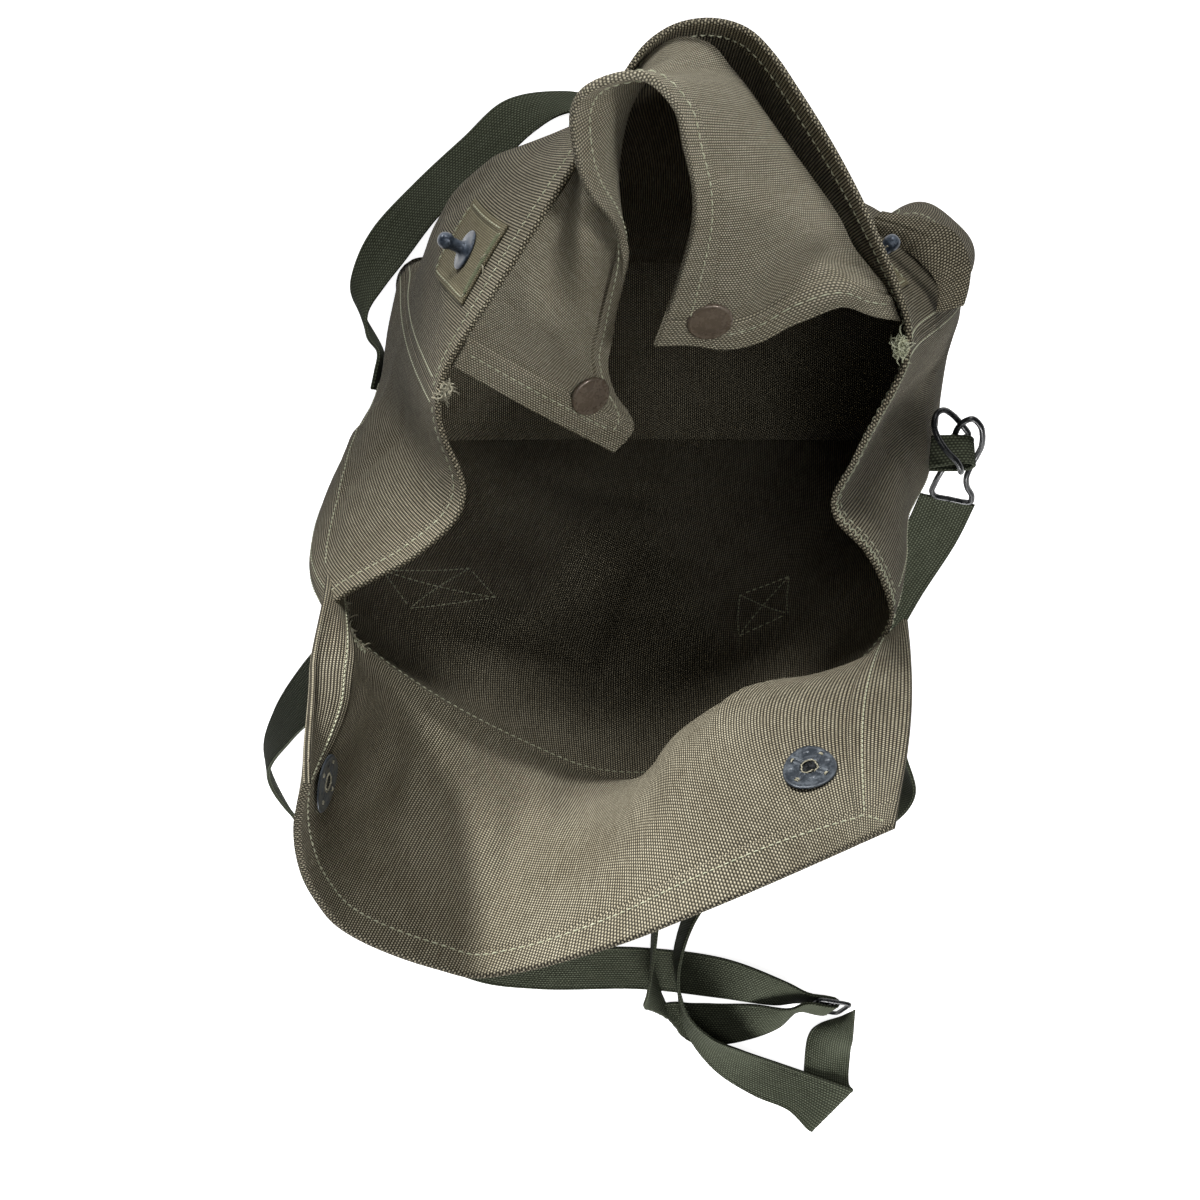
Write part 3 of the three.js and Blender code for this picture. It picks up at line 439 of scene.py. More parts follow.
# %% Creases and the map
def creased(middle, across, along, creases):
    """Push a surface along its normals by ridges: height times a bell of the distance from a line."""
    if not creases:
        return middle
    x, y = np.meshgrid(across / across[-1], along / along[-1])
    push = np.zeros_like(x)
    for x0, y0, x1, y1, half, height in creases:
        way = np.array([(x1 - x0) * across[-1], (y1 - y0) * along[-1]])
        length = np.hypot(*way)
        dx = (x - x0) * across[-1]
        dy = (y - y0) * along[-1]
        run = (dx * way[0] + dy * way[1]) / length**2
        off = (dx * way[1] - dy * way[0]) / length
        fade = np.sin(np.pi * np.clip(run, 0, 1)) ** 0.8
        push += height * np.exp(-((off / half) ** 2)) * fade
    return middle + grid_normals(middle) * push[..., None]


def charted(face):
    """The map of a face in metres: mean lengths across and along it, measured on the face itself."""
    across = np.linalg.norm(np.diff(face, axis=1), axis=2).mean(axis=0)
    along = np.linalg.norm(np.diff(face, axis=0), axis=2).mean(axis=1)
    places = np.meshgrid(np.append(0, np.cumsum(across)), np.append(0, np.cumsum(along)))
    return np.stack(places, axis=-1).reshape(-1, 2) * MM


# %% A cloth from a surface
HEM_STEP = 0.9
GROOVE = {"off": 0.8, "half": 0.5, "depth": 0.4}


def cloth(name, nodes, surface, wide, tall, finish, slot, held, step=2.4, thick=1.5, hems=(0, 0, 0, 0),
          fold=(0.0, 0.0), creases=(), rests_on=("table",)):
    """A cloth of a surface function: middle plus and minus half its thickness and the folds of its hems.

    The hems are the widths of the doubled cloth at the left, right, low and high edges, and the fold is
    how much further the outer and the inner face stand off there, beside a groove pulled in by the seam.
    """
    across = stations(wide, step, hems[0], hems[1])
    along = stations(tall, step, hems[2], hems[3])
    middle = creased(surface(across / wide, along / tall), across, along, creases)
    x, y = np.meshgrid(across, along)
    gaps = [x, wide - x, y, tall - y]
    edge = np.minimum.reduce(gaps)
    half = thick / 2
    rounding = np.sqrt(np.clip(1 - (1 - np.clip(edge / half, 0, 1)) ** 2, 0, 1))
    doubled = np.zeros_like(x)
    groove = np.zeros_like(x)
    for width, gap in zip(hems, gaps):
        if width:
            doubled = np.maximum(doubled, smooth((width + HEM_STEP / 2 - gap) / HEM_STEP))
            off = (gap - width - GROOVE["off"]) / GROOVE["half"]
            groove = np.maximum(groove, np.exp(-(off**2)))
    reach = [(half + out * doubled - min(out, GROOVE["depth"]) * groove) * rounding for out in fold]
    made = Cloth(middle, across, along, *reach)
    rows, columns = x.shape
    outer = np.arange(rows * columns).reshape(rows, columns)
    inner = outer.copy()
    inner[1:-1, 1:-1] = rows * columns + np.arange((rows - 2) * (columns - 2)).reshape(rows - 2, columns - 2)
    front = middle + made.normals * made.outer[..., None]
    reverse = middle - made.normals * made.inner[..., None]
    points = np.concatenate([front.reshape(-1, 3), reverse[1:-1, 1:-1].reshape(-1, 3)])
    faces = np.concatenate([grid_faces(outer), grid_faces(inner)[:, ::-1]])
    order = grid_faces(outer)
    chart = np.concatenate([charted(front)[order], charted(reverse)[order[:, ::-1]]])
    piece = mesh_object(name, points, faces, chart, finish)
    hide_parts(*nodes)
    wide * MM
    tall * MM
    print(name, "flat size", round(wide), "x", round(tall), "mm,", len(faces), "faces")
    return made


def measure(surface):
    """The mean length across and along a surface, in mm."""
    points = surface(np.linspace(0, 1, 60), np.linspace(0, 1, 60))
    across = np.linalg.norm(np.diff(points, axis=1), axis=2).sum(axis=1).mean()
    along = np.linalg.norm(np.diff(points, axis=0), axis=2).sum(axis=0).mean()
    return across, along


# %% [markdown]
# ## The table
# The table is one white sheet at the height of the bag's underside. A white table near a bag would light it
# from below, which a bag on a large cut-out background doesn't show, so this one throws no light on it.

# %% Table
TABLE_HALF = 3
table_mesh = bpy.data.meshes.new("table")
table_corners = [(x * TABLE_HALF, y * TABLE_HALF, 0) for x, y in ((-1, -1), (1, -1), (1, 1), (-1, 1))]
table_mesh.from_pydata(table_corners, [], [[0, 1, 2, 3]])
table_mesh.materials.append(TABLE)
table = bpy.data.objects.new("table", table_mesh)
bpy.context.scene.collection.objects.link(table)
table.visible_diffuse = False
print("table side", 2 * TABLE_HALF, "m")

# %% [markdown]
# ## The shape of the walls
# A stuffed or standing bag has no flat side. At each height we write down where the four corner seams are
# and how far the wide walls bow out between them; a smooth curve through those few rows gives every level
# in between. The corners are rounded by averaging neighbours, the way cloth rounds over a seam.

# %% Tables of the walls
# A level: height, x and y of the front left, front right, back left and back right seam, and the inward
# tuck of the left and the right gusset
CORNERS = [
    (2.2, -132, 45, 132, 45, -132, -45, 132, -45, 0, 0),
    (45, -124, 37, 133, 41, -141, -45, 127, -47, -4, 1),
    (95, -116, 27, 128, 37, -151, -49, 116, -52, 0, 6),
    (145, -107, 18, 113, 32, -155, -56, 99, -58, 6, 11),
    (195, -98, 12, 90, 26, -151, -64, 91, -66, 16, 19),
    (235, -92, 9, 79, 22, -137, -67, 79, -71, 26, 23),
]
# A wide wall at a level: height, x and y of its apex, its rise, the width of its flat top, and the swell of
# its two legs
FRONT_BOW = [
    (2.2, 0, 44, 0, 60, 0, 0),
    (45, -3, 68, 0, 50, 13, 6),
    (95, -4, 88, 2, 42, 28, 12),
    (145, -4, 103, 5, 34, 29, 6),
    (195, -2, 115, 12, 28, 15, -2),
    (235, -1, 128, 26, 28, -2, 5),
]
BACK_BOW = [
    (2.2, 0, -44, 0, 60, 0, 0),
    (45, -10, -68, 0, 60, 4, 4),
    (95, -14, -92, -4, 50, 6, 6),
    (145, -17, -113, -12, 42, 8, 7),
    (195, -19, -132, -22, 34, 10, 12),
    (235, -20, -147, -30, 30, 12, 8),
]
# A soft fold: wall, place across it, half width, depth outward, and the heights between which it fades
FOLDS = [
    ("back", 0.55, 0.05, 7, 0.25, 0.8),
    ("front", 0.2, 0.06, -4, 0.15, 0.6),
    ("front", 0.8, 0.06, -4, 0.1, 0.5),
    ("right", 0.45, 0.2, -5, 0.35, 0.85),
    ("left", 0.5, 0.2, -4, 0.1, 0.5),
]
WIDE = 24
GUSSET = 8
LEVELS = 10
LOOP = 2 * (WIDE + GUSSET)
WALLS = {
    "front": (0, WIDE),
    "right": (WIDE, WIDE + GUSSET),
    "back": (WIDE + GUSSET, LOOP - GUSSET),
    "left": (LOOP - GUSSET, LOOP),
}
SEAM_REACH = 2


def look_up(rows, at):
    """Every column of a table at values of its first: a cubic through the rows with central slopes."""
    rows = np.asarray(rows, float)
    at = np.asarray(at, float)
    key = rows[:, 0]
    last = len(rows) - 1
    k = np.clip(np.searchsorted(key[1:], at), 0, last - 1)
    low = np.maximum(np.arange(last + 1) - 1, 0)
    high = np.minimum(np.arange(last + 1) + 1, last)
    slope = (rows[high] - rows[low]) / (key[high] - key[low])[:, None]
    span = (key[k + 1] - key[k])[:, None]
    t = (at - key[k])[:, None] / span
    rise = rows[k + 1] - rows[k]
    leave = slope[k] * span
    arrive = slope[k + 1] * span
    return rows[k] + t * (leave + t * (3 * rise - 2 * leave - arrive + t * (leave + arrive - 2 * rise)))


print("levels in the tables:", len(CORNERS))


# %% A wide wall and a gusset at every level
def bow(start, end, row, z):
    """A wide wall at every level: a leg with a sine swell, a flat top, and a second leg, by length."""
    chord = unit(end - start)
    apex = row[:, 1:3]
    flat = row[:, 4:5]
    top_start = apex - chord * flat / 2
    top_end = apex + chord * flat / 2
    first = np.linalg.norm(top_start - start, axis=1, keepdims=True)
    second = np.linalg.norm(end - top_end, axis=1, keepdims=True)
    run = np.linspace(0, 1, WIDE + 1)[None, :] * (first + flat + second)

    def leg(a, b, t, swell):
        way = unit(b - a)
        outward = np.stack([-way[:, 1], way[:, 0]], axis=1)
        line = a[:, None] + (b - a)[:, None] * t[..., None]
        return line + outward[:, None] * (swell * np.sin(np.pi * t))[..., None]
    t1 = run / first
    t2 = (run - first) / flat
    t3 = (run - first - flat) / second
    flat_top = leg(top_start, top_end, t2, 0 * flat)
    place = np.where((run < first)[..., None], leg(start, top_start, t1, row[:, 5:6]), flat_top)
    place = np.where((run >= first + flat)[..., None], leg(top_end, end, t3, row[:, 6:7]), place)
    climb = np.where(run < first, t1, np.where(run < first + flat, 1, 1 - t3))
    height = z[:, None] + row[:, 3:4] * np.sin(np.pi / 2 * climb)
    return np.concatenate([place, height[..., None]], axis=2)


def gusset(start, end, tuck, z):
    """A side wall at every level: a line between two seams, tucked inward by a half sine."""
    s = np.linspace(0, 1, GUSSET + 1)[None, :]
    way = unit(end - start)
    inward = np.stack([way[:, 1], -way[:, 0]], axis=1)
    line = start[:, None] + (end - start)[:, None] * s[..., None]
    place = line + inward[:, None] * (tuck[:, None] * np.sin(np.pi * s))[..., None]
    return np.concatenate([place, np.broadcast_to(z[:, None, None], place.shape[:2] + (1,))], axis=2)


# %% The walls as loops
def loop_normals(grid):
    """Outward directions of closed loops."""
    along = np.roll(grid, -1, axis=1) - np.roll(grid, 1, axis=1)
    level = np.arange(len(grid))
    up = grid[np.minimum(level + 1, level[-1])] - grid[np.maximum(level - 1, 0)]
    return unit(np.cross(up, along))


def wall_loops():
    """The walls as level loops, clockwise from above, rounded at the seams and pushed by the folds."""
    z = np.linspace(CORNERS[0][0], CORNERS[-1][0], LEVELS + 1)
    seam = look_up(CORNERS, z)
    front = bow(seam[:, 1:3], seam[:, 3:5], look_up(FRONT_BOW, z), z)
    right = gusset(seam[:, 3:5], seam[:, 7:9], seam[:, 10], z)
    back = bow(seam[:, 7:9], seam[:, 5:7], look_up(BACK_BOW, z), z)
    left = gusset(seam[:, 5:7], seam[:, 1:3], seam[:, 9], z)
    loops = np.concatenate([front[:, :-1], right[:, :-1], back[:, :-1], left[:, :-1]], axis=1)
    columns = np.arange(loops.shape[1])
    seams = np.array([0] + [end for _, end in WALLS.values()])
    near = np.abs(columns[:, None] - seams).min(axis=1) <= SEAM_REACH
    for reach in (np.ones_like(near), near):
        soft = (2 * loops + np.roll(loops, 1, axis=1) + np.roll(loops, -1, axis=1)) / 4
        loops = np.where(reach[None, :, None], soft, loops)
    push = np.zeros(loops.shape[:2])
    height = np.linspace(0, 1, LEVELS + 1)
    for wall, across, half, depth, low, high in FOLDS:
        start, end = WALLS[wall]
        off = ((columns - start) / (end - start) - across) / half
        fade = np.sin(np.pi * np.clip((height - low) / (high - low), 0, 1))
        push += depth * np.exp(-(off**2))[None, :] * fade[:, None]
    return loops + loop_normals(loops) * push[..., None]


wall_grid = wall_loops()
wall_normals = loop_normals(wall_grid)
MARGIN = 2


def wall(name, grid=wall_grid):
    """One wall as a function of the fractions across and along it."""
    start, end = WALLS[name]
    patch = grid[:, np.arange(start - MARGIN, end + MARGIN + 1) % grid.shape[1]]
    return lambda s, t: spread(patch, LEVELS * np.asarray(t), MARGIN + (end - start) * np.asarray(s))


def seat(name, s, t):
    """The place and the outward direction at one spot of a wall."""
    return wall(name)([s], [t])[0, 0], unit(wall(name, wall_normals)([s], [t])[0, 0])


print("wall loops:", wall_grid.shape)

# %% [markdown]
# ## Walls and bottom
# The real bag is cut as flat panels and sewn with the seams turned in. The rims of the front wall and the
# gussets are folded over inside and sewn, so each ends in a flat band of double cloth. The creases are where
# the bag was folded for storage: long ridges of a millimetre or two. Two deeper ones tuck the gussets' rims
# in, and two narrow ones on the left gusset mark the edge of a strip sewn behind it.

# %% Creases of the walls
front_size = measure(wall("front"))
back_size = measure(wall("back"))
left_size = measure(wall("left"))
right_size = measure(wall("right"))
# A crease: where it starts and ends across and along the cloth, as fractions, and its half width and height
FRONT_CREASES = [
    (0.06, 0.95, 0.2, 0.55, 6, 1.2), (0.12, 0.6, 0.3, 0.75, 7, -1.5), (0.3, 0.95, 0.26, 0.5, 5, 1.0),
    (0.5, 0.98, 0.47, 0.3, 8, -1.4), (0.62, 0.95, 0.7, 0.4, 6, 1.2), (0.05, 0.3, 0.3, 0.2, 8, -1.6),
    (0.85, 0.9, 0.75, 0.35, 7, -1.2), (0.15, 0.1, 0.5, 0.16, 6, 1.0), (0.55, 0.12, 0.9, 0.2, 7, 1.2),
]
BACK_CREASES = [
    (0.3, 0.9, 0.36, 0.35, 6, 1.4), (0.55, 0.95, 0.5, 0.3, 4, 1.6), (0.7, 0.9, 0.62, 0.4, 6, -1.4),
    (0.85, 0.85, 0.95, 0.4, 6, 1.4), (0.12, 0.8, 0.2, 0.3, 6, -1.2), (0.4, 0.2, 0.75, 0.12, 8, 1.4),
]
GUSSET_CREASES = [
    (0.2, 0.95, 0.35, 0.3, 5, 1.2), (0.7, 0.9, 0.55, 0.4, 5, -1.2), (0.1, 0.4, 0.9, 0.5, 6, 1.0),
    (0.15, 0.7, 0.85, 0.62, 5, -0.9),
]
BACK_STRIP = [(0.46, 0.2), (0.347, 0.595), (0.153, 0.875)]
STRIP_FOLDS = [(*start, *end, 3, -1.3) for start, end in zip(BACK_STRIP, BACK_STRIP[1:])]
LEFT_CREASES = GUSSET_CREASES + [(0.62, 0.35, 0.7, 1.5, 15, -9)] + STRIP_FOLDS
RIGHT_CREASES = GUSSET_CREASES + [(0.55, 0.4, 0.6, 1.6, 10, -7)]
print("creases of the walls:", len(FRONT_CREASES + BACK_CREASES + LEFT_CREASES + RIGHT_CREASES))

# %% Walls and bottom
front_wall = cloth("front_wall", ["front_panel"], wall("front"), *front_size, CANVAS, "canvas", "hung",
                   hems=(0, 0, 0, 9), fold=(0.15, 0.4), creases=FRONT_CREASES)
back_wall = cloth("back_wall", ["back_panel"], wall("back"), *back_size, CANVAS, "canvas", "hung",
                  creases=BACK_CREASES)
left_wall = cloth("left_wall", ["left_gusset"], wall("left"), *left_size, CANVAS, "canvas", "hung",
                  hems=(0, 0, 0, 11), fold=(0.2, 0.4), creases=LEFT_CREASES)
right_wall = cloth("right_wall", ["right_gusset"], wall("right"), *right_size, CANVAS, "canvas", "hung",
                   hems=(0, 0, 0, 9), fold=(0.1, 0.4), creases=RIGHT_CREASES)

BOTTOM = {"wide": 265.6, "deep": 92.6, "corner": 14, "thick": 2.4}


def bottom_surface(s, t):
    """The bottom panel: each level line across is drawn in at its ends along the corner arcs."""
    y = (np.asarray(t)[:, None] - 0.5) * BOTTOM["deep"]
    into = np.clip(np.abs(y) - (BOTTOM["deep"] / 2 - BOTTOM["corner"]), 0, BOTTOM["corner"])
    draw = BOTTOM["corner"] - np.sqrt(np.maximum(BOTTOM["corner"] ** 2 - into**2, 0))
    x = (0.5 - np.asarray(s)[None, :]) * (BOTTOM["wide"] - 2 * draw)
    return np.stack([x, np.broadcast_to(y, x.shape), np.full(x.shape, BOTTOM["thick"] / 2)], axis=2)


cloth("bottom", ["bottom_panel"], bottom_surface, BOTTOM["wide"], BOTTOM["deep"], CANVAS, "canvas", "laid",
      thick=BOTTOM["thick"])

# %% [markdown]
# ## The flap and the inner flap
# The flap grows out of the back wall's rim and is hemmed on its three free sides: the cloth is turned in
# twice, so the hem stands off the inside of the flap as a flat band. Its left hem curls outward. The inner
# flap is sewn just inside the front rim, loosely on the right, and leans in over the mouth; its free edge is
# drawn up into a standing loop. Each flap is a blend between the line it is sewn along and its free edge.

# %% Edges of the flaps
# A place on the flap's hem: fraction from its left end, x, y and z, and the swell of the cloth below it
FLAP_HEM = [
    (0, -111, -81, 372, 0), (0.09, -117, -98, 366, -2), (0.17, -118, -118, 355, -4),
    (0.28, -107, -141, 345, -4), (0.44, -70, -162, 331, 4), (0.58, -32, -154, 330, 20),
    (0.72, -1, -138.5, 335, 34), (0.86, 28, -119.5, 345, 32), (1, 52, -99, 360, -4),
]
FLAP_OVERHANG = {"right": 0.5, "left": 8}
FLAP_STRAIGHT = 2
# A place on the inner flap's free edge: fraction from its left end, x, y and z
INNER_EDGE = [
    (0, -27, -19, 190), (0.05, -19.5, -7.6, 193.3), (0.11, -29, 9, 206), (0.2, -27, 31, 225),
    (0.32, -23, 56, 254), (0.4, -28, 67, 268), (0.48, -37, 79, 286), (0.55, -40, 98, 304),
    (0.59, -35, 104, 311), (0.63, -23, 107, 315), (0.66, -14, 104, 313), (0.71, -9, 92, 307),
    (0.8, -4, 71, 291), (0.9, -8, 48, 268), (1, -14, 27, 248),
]
INNER_ROOT = {"down": 6, "in": 2.2, "loose": 7}
INNER_CROWN = 5
INNER_WAVE = np.array([1, 9, 4])
FLAP_STEPS = 9
INNER_STEPS = 7


def run_on(row):
    """A row of the back rim with its two ends run straight on past the seams."""
    n = FLAP_STRAIGHT
    found = row.copy()
    from_right = slice(None)
    from_left = slice(None, None, -1)
    for ends, overhang in ((from_right, FLAP_OVERHANG["right"]), (from_left, FLAP_OVERHANG["left"])):
        line = row[ends]
        reach = np.linalg.norm(line[n] - line[0]) + overhang
        steps = reach * np.arange(n, 0, -1)[:, None] / n
        found[ends][:n] = line[n] + unit(line[n] - line[n + 1]) * steps
    return found


def flap_grid():
    """Rows from the back rim to the hem: a straight blend plus a sine swell over the mouth."""
    places = np.arange(WIDE + 1) / WIDE
    root = run_on(wall("back")(places, [1])[0])
    inner = np.clip(places, FLAP_STRAIGHT / WIDE, 1 - FLAP_STRAIGHT / WIDE)
    outward = wall("back", wall_normals)(inner, [1])[0] * [1, 1, 0]
    hem = look_up(FLAP_HEM, 1 - places)
    t = np.linspace(0, 1, FLAP_STEPS + 1)[:, None, None]
    swell = hem[:, 4][None, :, None] * np.sin(np.pi * t**0.9)
    return root[None] * (1 - t) + hem[None, :, 1:4] * t - unit(outward)[None] * swell


def inner_grid():
    """Rows from inside the front rim, loose on the right, to the free edge, with a crown and an end wave."""
    places = np.arange(1, WIDE) / WIDE
    rim = wall("front")(places, [1])[0]
    down = unit(wall("front")(places, [0.9])[0] - rim)
    loose = (smooth((places - 0.5) / 0.1) * smooth((1.03 - places) / 0.4))[:, None]
    outward = wall("front", wall_normals)(places, [1])[0]
    slack = INNER_ROOT["loose"] * loose
    root = rim + (INNER_ROOT["down"] + slack) * down - (INNER_ROOT["in"] + slack) * outward
    edge = look_up(INNER_EDGE, np.linspace(0, 1, len(places)))
    t = np.linspace(0, 1, INNER_STEPS + 1)[:, None, None]
    crown = INNER_CROWN * np.sin(np.pi * t) * np.array([0, 0, 1])
    right = smooth((np.arange(len(places)) - len(places) + 6) / 5)[None, :, None]
    wave = right * (np.exp(-(((t - 0.3) / 0.17) ** 2)) - 0.4 * np.exp(-(((t - 0.66) / 0.16) ** 2)))
    return root[None] * (1 - t) + edge[None, :, 1:] * t + crown + wave * INNER_WAVE


def sheet_function(grid):
    """A coarse grid as a function of the fractions across and along it."""
    rows = grid.shape[0] - 1
    columns = grid.shape[1] - 1
    return lambda s, t: spread(grid, rows * np.asarray(t), columns * np.asarray(s))


# %% Surfaces of the flaps
plain_flap = sheet_function(flap_grid())
inner_surface = sheet_function(inner_grid())
flap_size = measure(plain_flap)
inner_size = measure(inner_surface)
CURL = {"hem": 14, "fade": 75, "depth": 9, "rise": 0.35, "fall": 0.5}
CORNER_DROP = {"reach": 24, "rise": 0.45, "by": (3, 5, -30)}
EDGE_SWAY = {"reach": 40, "by": 1.6, "turns": 0.75}


def flap_surface(s, t):
    """The flap with its left hem curled outward and swaying, and its left root corner drawn down."""
    t = np.asarray(t)[:, None]
    points = plain_flap(s, t[:, 0])
    gap = (1 - np.asarray(s)) * flap_size[0]
    push = smooth(gap / CURL["hem"]) * smooth((CURL["fade"] - gap) / (CURL["fade"] - CURL["hem"]))
    push = CURL["depth"] * push * smooth(t / CURL["rise"]) * smooth((1 - t) / CURL["fall"])
    drop = smooth(1 - gap / CORNER_DROP["reach"]) * smooth(1 - t / CORNER_DROP["rise"])
    sway = np.sin(2 * np.pi * EDGE_SWAY["turns"] * t) * smooth(1 - gap / EDGE_SWAY["reach"])
    push = push + EDGE_SWAY["by"] * sway
    return points - grid_normals(points) * push[..., None] + drop[..., None] * CORNER_DROP["by"]


FLAP_CREASES = [
    (0.62, 0.05, 0.56, 0.98, 5, 1.4), (0.76, 0.2, 0.86, 0.95, 7, -1.6), (0.4, 0.1, 0.3, 0.9, 9, 1.2),
    (0.12, 0.0, 0.2, 0.6, 5, -1.8), (0.05, 0.05, 0.3, 0.25, 5, 1.6), (0.9, 0.1, 0.96, 0.7, 5, 1.2),
    (0.7, 0.2, 0.55, 1.1, 7, 3.0), (0.62, 0.0, 0.5, 0.7, 9, -3.0), (0.8, 0.0, 0.7, 0.7, 8, 2.4),
]
INNER_CREASES = [
    (0.52, 0.05, 0.6, 0.95, 5, 1.2), (0.25, 0.1, 0.35, 0.9, 7, -1.2), (0.8, 0.05, 0.74, 0.9, 7, -1.4),
    (0.1, 0.2, 0.2, 0.8, 6, 1.0), (0.3, -0.05, 0.1, 0.5, 8, -4.2), (0.36, 0.0, 0.18, 0.7, 7, 2.8),
    (0.16, 0.0, 0.1, 0.9, 7, 2.4), (0.86, -0.1, 0.98, 0.7, 8, -4.0), (0.93, 0.0, 1.0, 0.45, 6, 3.2),
]
flap = cloth("flap_cloth", ["flap"], flap_surface, *flap_size, CANVAS, "canvas", "draped",
             hems=(13, 13, 0, 13), fold=(0.1, 0.75), creases=FLAP_CREASES, rests_on=("back_wall",))
inner_flap = cloth("inner_flap_cloth", ["inner_flap"], inner_surface, *inner_size, FINE_CANVAS, "canvas",
                   "draped", hems=(11, 11, 0, 11), fold=(1.0, 0.15), creases=INNER_CREASES,
                   rests_on=("front_wall",))

# %% [markdown]
# ## The pocket
# A small pocket is sewn on the right end of the front wall. It swells off the wall and stays open at its
# top, where a band of cloth is sewn across and stands off between its ends.

# %% Pocket
POCKET = {"from": 0.835, "to": 0.98, "low": 0.2, "high": 0.65, "foot": 0.3, "depth": 13, "off": 1.85}
POCKET_FLAP = {"from": 0.825, "to": 0.985, "along": 0.715, "crown": 3}
# The pocket flap: fraction across it, its stand off the wall, its reach outward, and its drop
POCKET_FLAP_SPAN = [(0, 1.6, 8, 0), (0.25, 5, 12, 2), (0.5, 7, 16, 4), (0.75, 7, 13, 6), (1, 1.6, 9, 6)]


def pocket_surface(s, t):
    """The front wall lifted along its normals: a sine rise from the foot, squared off at the sides."""
    s = np.asarray(s)
    t = np.asarray(t)
    across = POCKET["from"] + (POCKET["to"] - POCKET["from"]) * s
    along = POCKET["low"] + (POCKET["high"] - POCKET["low"]) * t
    rise = np.sin(np.pi / 2 * np.clip(t / POCKET["foot"], 0, 1))
    swell = rise[:, None] * (1 - np.abs(2 * s - 1) ** 4)[None, :]
    lift = POCKET["off"] + POCKET["depth"] * swell
    outward = unit(wall("front", wall_normals)(across, along))
    return wall("front")(across, along) + outward * lift[..., None]


def pocket_flap_surface(s, t):
    """A band that stands off the wall: its stand and reach along the normal, its crown and drop upward."""
    s = np.asarray(s)
    t = np.asarray(t)[:, None]
    span = look_up(POCKET_FLAP_SPAN, s)
    across = POCKET_FLAP["from"] + (POCKET_FLAP["to"] - POCKET_FLAP["from"]) * s
    place = wall("front")(across, [POCKET_FLAP["along"]])[0]
    normal = unit(wall("front", wall_normals)(across, [POCKET_FLAP["along"]])[0])
    up = wall("front")(across, [POCKET_FLAP["along"] + 0.02])[0] - place
    up = unit(up - normal * np.sum(up * normal, axis=1, keepdims=True))
    out = span[:, 1][None] + span[:, 2][None] * t
    rise = POCKET_FLAP["crown"] * np.sin(np.pi * t) - span[:, 3][None] * t
    return place[None] + normal[None] * out[..., None] + up[None] * rise[..., None]


pocket_size = measure(pocket_surface)
pocket_flap_size = measure(pocket_flap_surface)
pocket = cloth("pocket_cloth", ["pocket"], pocket_surface, *pocket_size, CANVAS, "canvas", "hung", step=1.6,
               hems=(0, 0, 0, 8), fold=(0.5, 0.8), rests_on=("front_wall",))
pocket_flap = cloth("pocket_band", ["pocket_flap"], pocket_flap_surface, *pocket_flap_size, CANVAS, "canvas",
                    "hung", step=1.2, hems=(0, 0, 0, 5), fold=(0.5, 0.5), rests_on=("front_wall",))

# %% [markdown]
# ## Webbing straps
# Cotton webbing bends easily out of its plane and hardly at all within it, so a strap is best written as a
# row of crosswise lines: where the middle is, which way the width points, and how steeply it tilts. Two
# smooth curves run through the ends of those lines and the webbing is stretched between them.

# %% Routes of the straps
WEB_HALF = 13
WEB_LIFT = 2.6
# A crosswise line: x, y and z of its middle, heading and tilt of the width in degrees, and its half length
# where that isn't the webbing's own
SHOULDER_ROUTE = [
    (-128, -98, 160, -62, 30), (-157, -133, 126, -40, 40), (-181, -165, 92, -30, 58),
    (-197, -197, 60, -20, 74), (-193, -230, 36, 10, 68), (-170, -272, 17, 32, 42), (-138, -312, 4.5, 45, 12),
    (-99, -336, 1, 72, 0), (-65, -341, 1, 86, 0), (-10, -341, 1, 93, 0), (36, -345, 5, 84, 6),
    (68, -351, 11, 80, 32),
]
TAIL_ROUTE = [
    (70, -367, 10, 80, 36), (52, -373, 4, 82, 10), (34, -376, 1, 90, 0), (13, -374, 1, 110, 0),
    (0, -362, 10, 140, 40), (-4, -342, 16, 165, 80), (-3, -318, 16, 180, 90), (1, -285, 14, 180, 88),
    (9, -245, 17, 180, 70), (20, -205, 36, 182, 45), (32, -168, 68, 190, 25), (42, -136, 104, 200, 10),
]
HOOK_ROUTE = [
    (127.3, -58.8, 80.9, -12, 0), (122, -80, 70, -6, 6), (109, -114, 52, -8, 20), (104, -146, 34, 0, 48),
    (112, -178, 20, 8, 72), (126, -206, 14, 10, 88), (132, -227, 14, 15, 90), (122, -242, 14, -20, 90),
    (96, -253, 14, -58, 90), (58, -268, 14, -68, 90), (24, -290, 14.5, -50, 90), (10, -327, 17, 0, 88),
    (13, -352, 17, 15, 84), (22, -373, 15, 30, 56), (40, -394, 8.5, 50, 24), (62, -409, 4, 60, 4),
    (82, -418, 3.4, 62, 0, 13.4), (99, -429, 3.2, 50, 0, 18), (101.4, -430.9, 2.1, 50, 0, 18),
    (99, -429, 1, 50, 0, 18), (97, -398, 1.2, 14, 0, 13.4), (98, -378, 8, 8, 36),
]
WAIST_ROUTE = [
    (-145, 14, 22, -55, 70), (-149, 26, 15, -42, 56), (-144, 38.5, 10.5, -36, 42), (-135, 52, 8.5, -46, 30),
    (-114, 75, 10, -44, 40), (-91, 94, 9, -48, 34), (-70, 112, 10, -46, 38), (-48, 118, 13.5, -80, 66),
    (-25, 116, 13.5, -92, 74), (5, 112, 8, -98, 38), (38, 104, 1, -104, 0), (62, 98, 1, -105, 0),
]
BUCKLE = {"at": np.array([94, -357, 14.5]), "wide": 33, "deep": 20, "thick": 2.2, "bar": 2.6}
BUCKLE_HEADING = 80
BUCKLE_TILT = 50
# How the webbing turns round the buckle's bar: places ahead of the bar and out of the buckle's plane
BUCKLE_TURN = [(-14, -2.5), (-3, -2.5), (1.6, -1.9), (2.9, 0), (1.6, 1.9), (-3, 2.5), (-14, 2.5)]


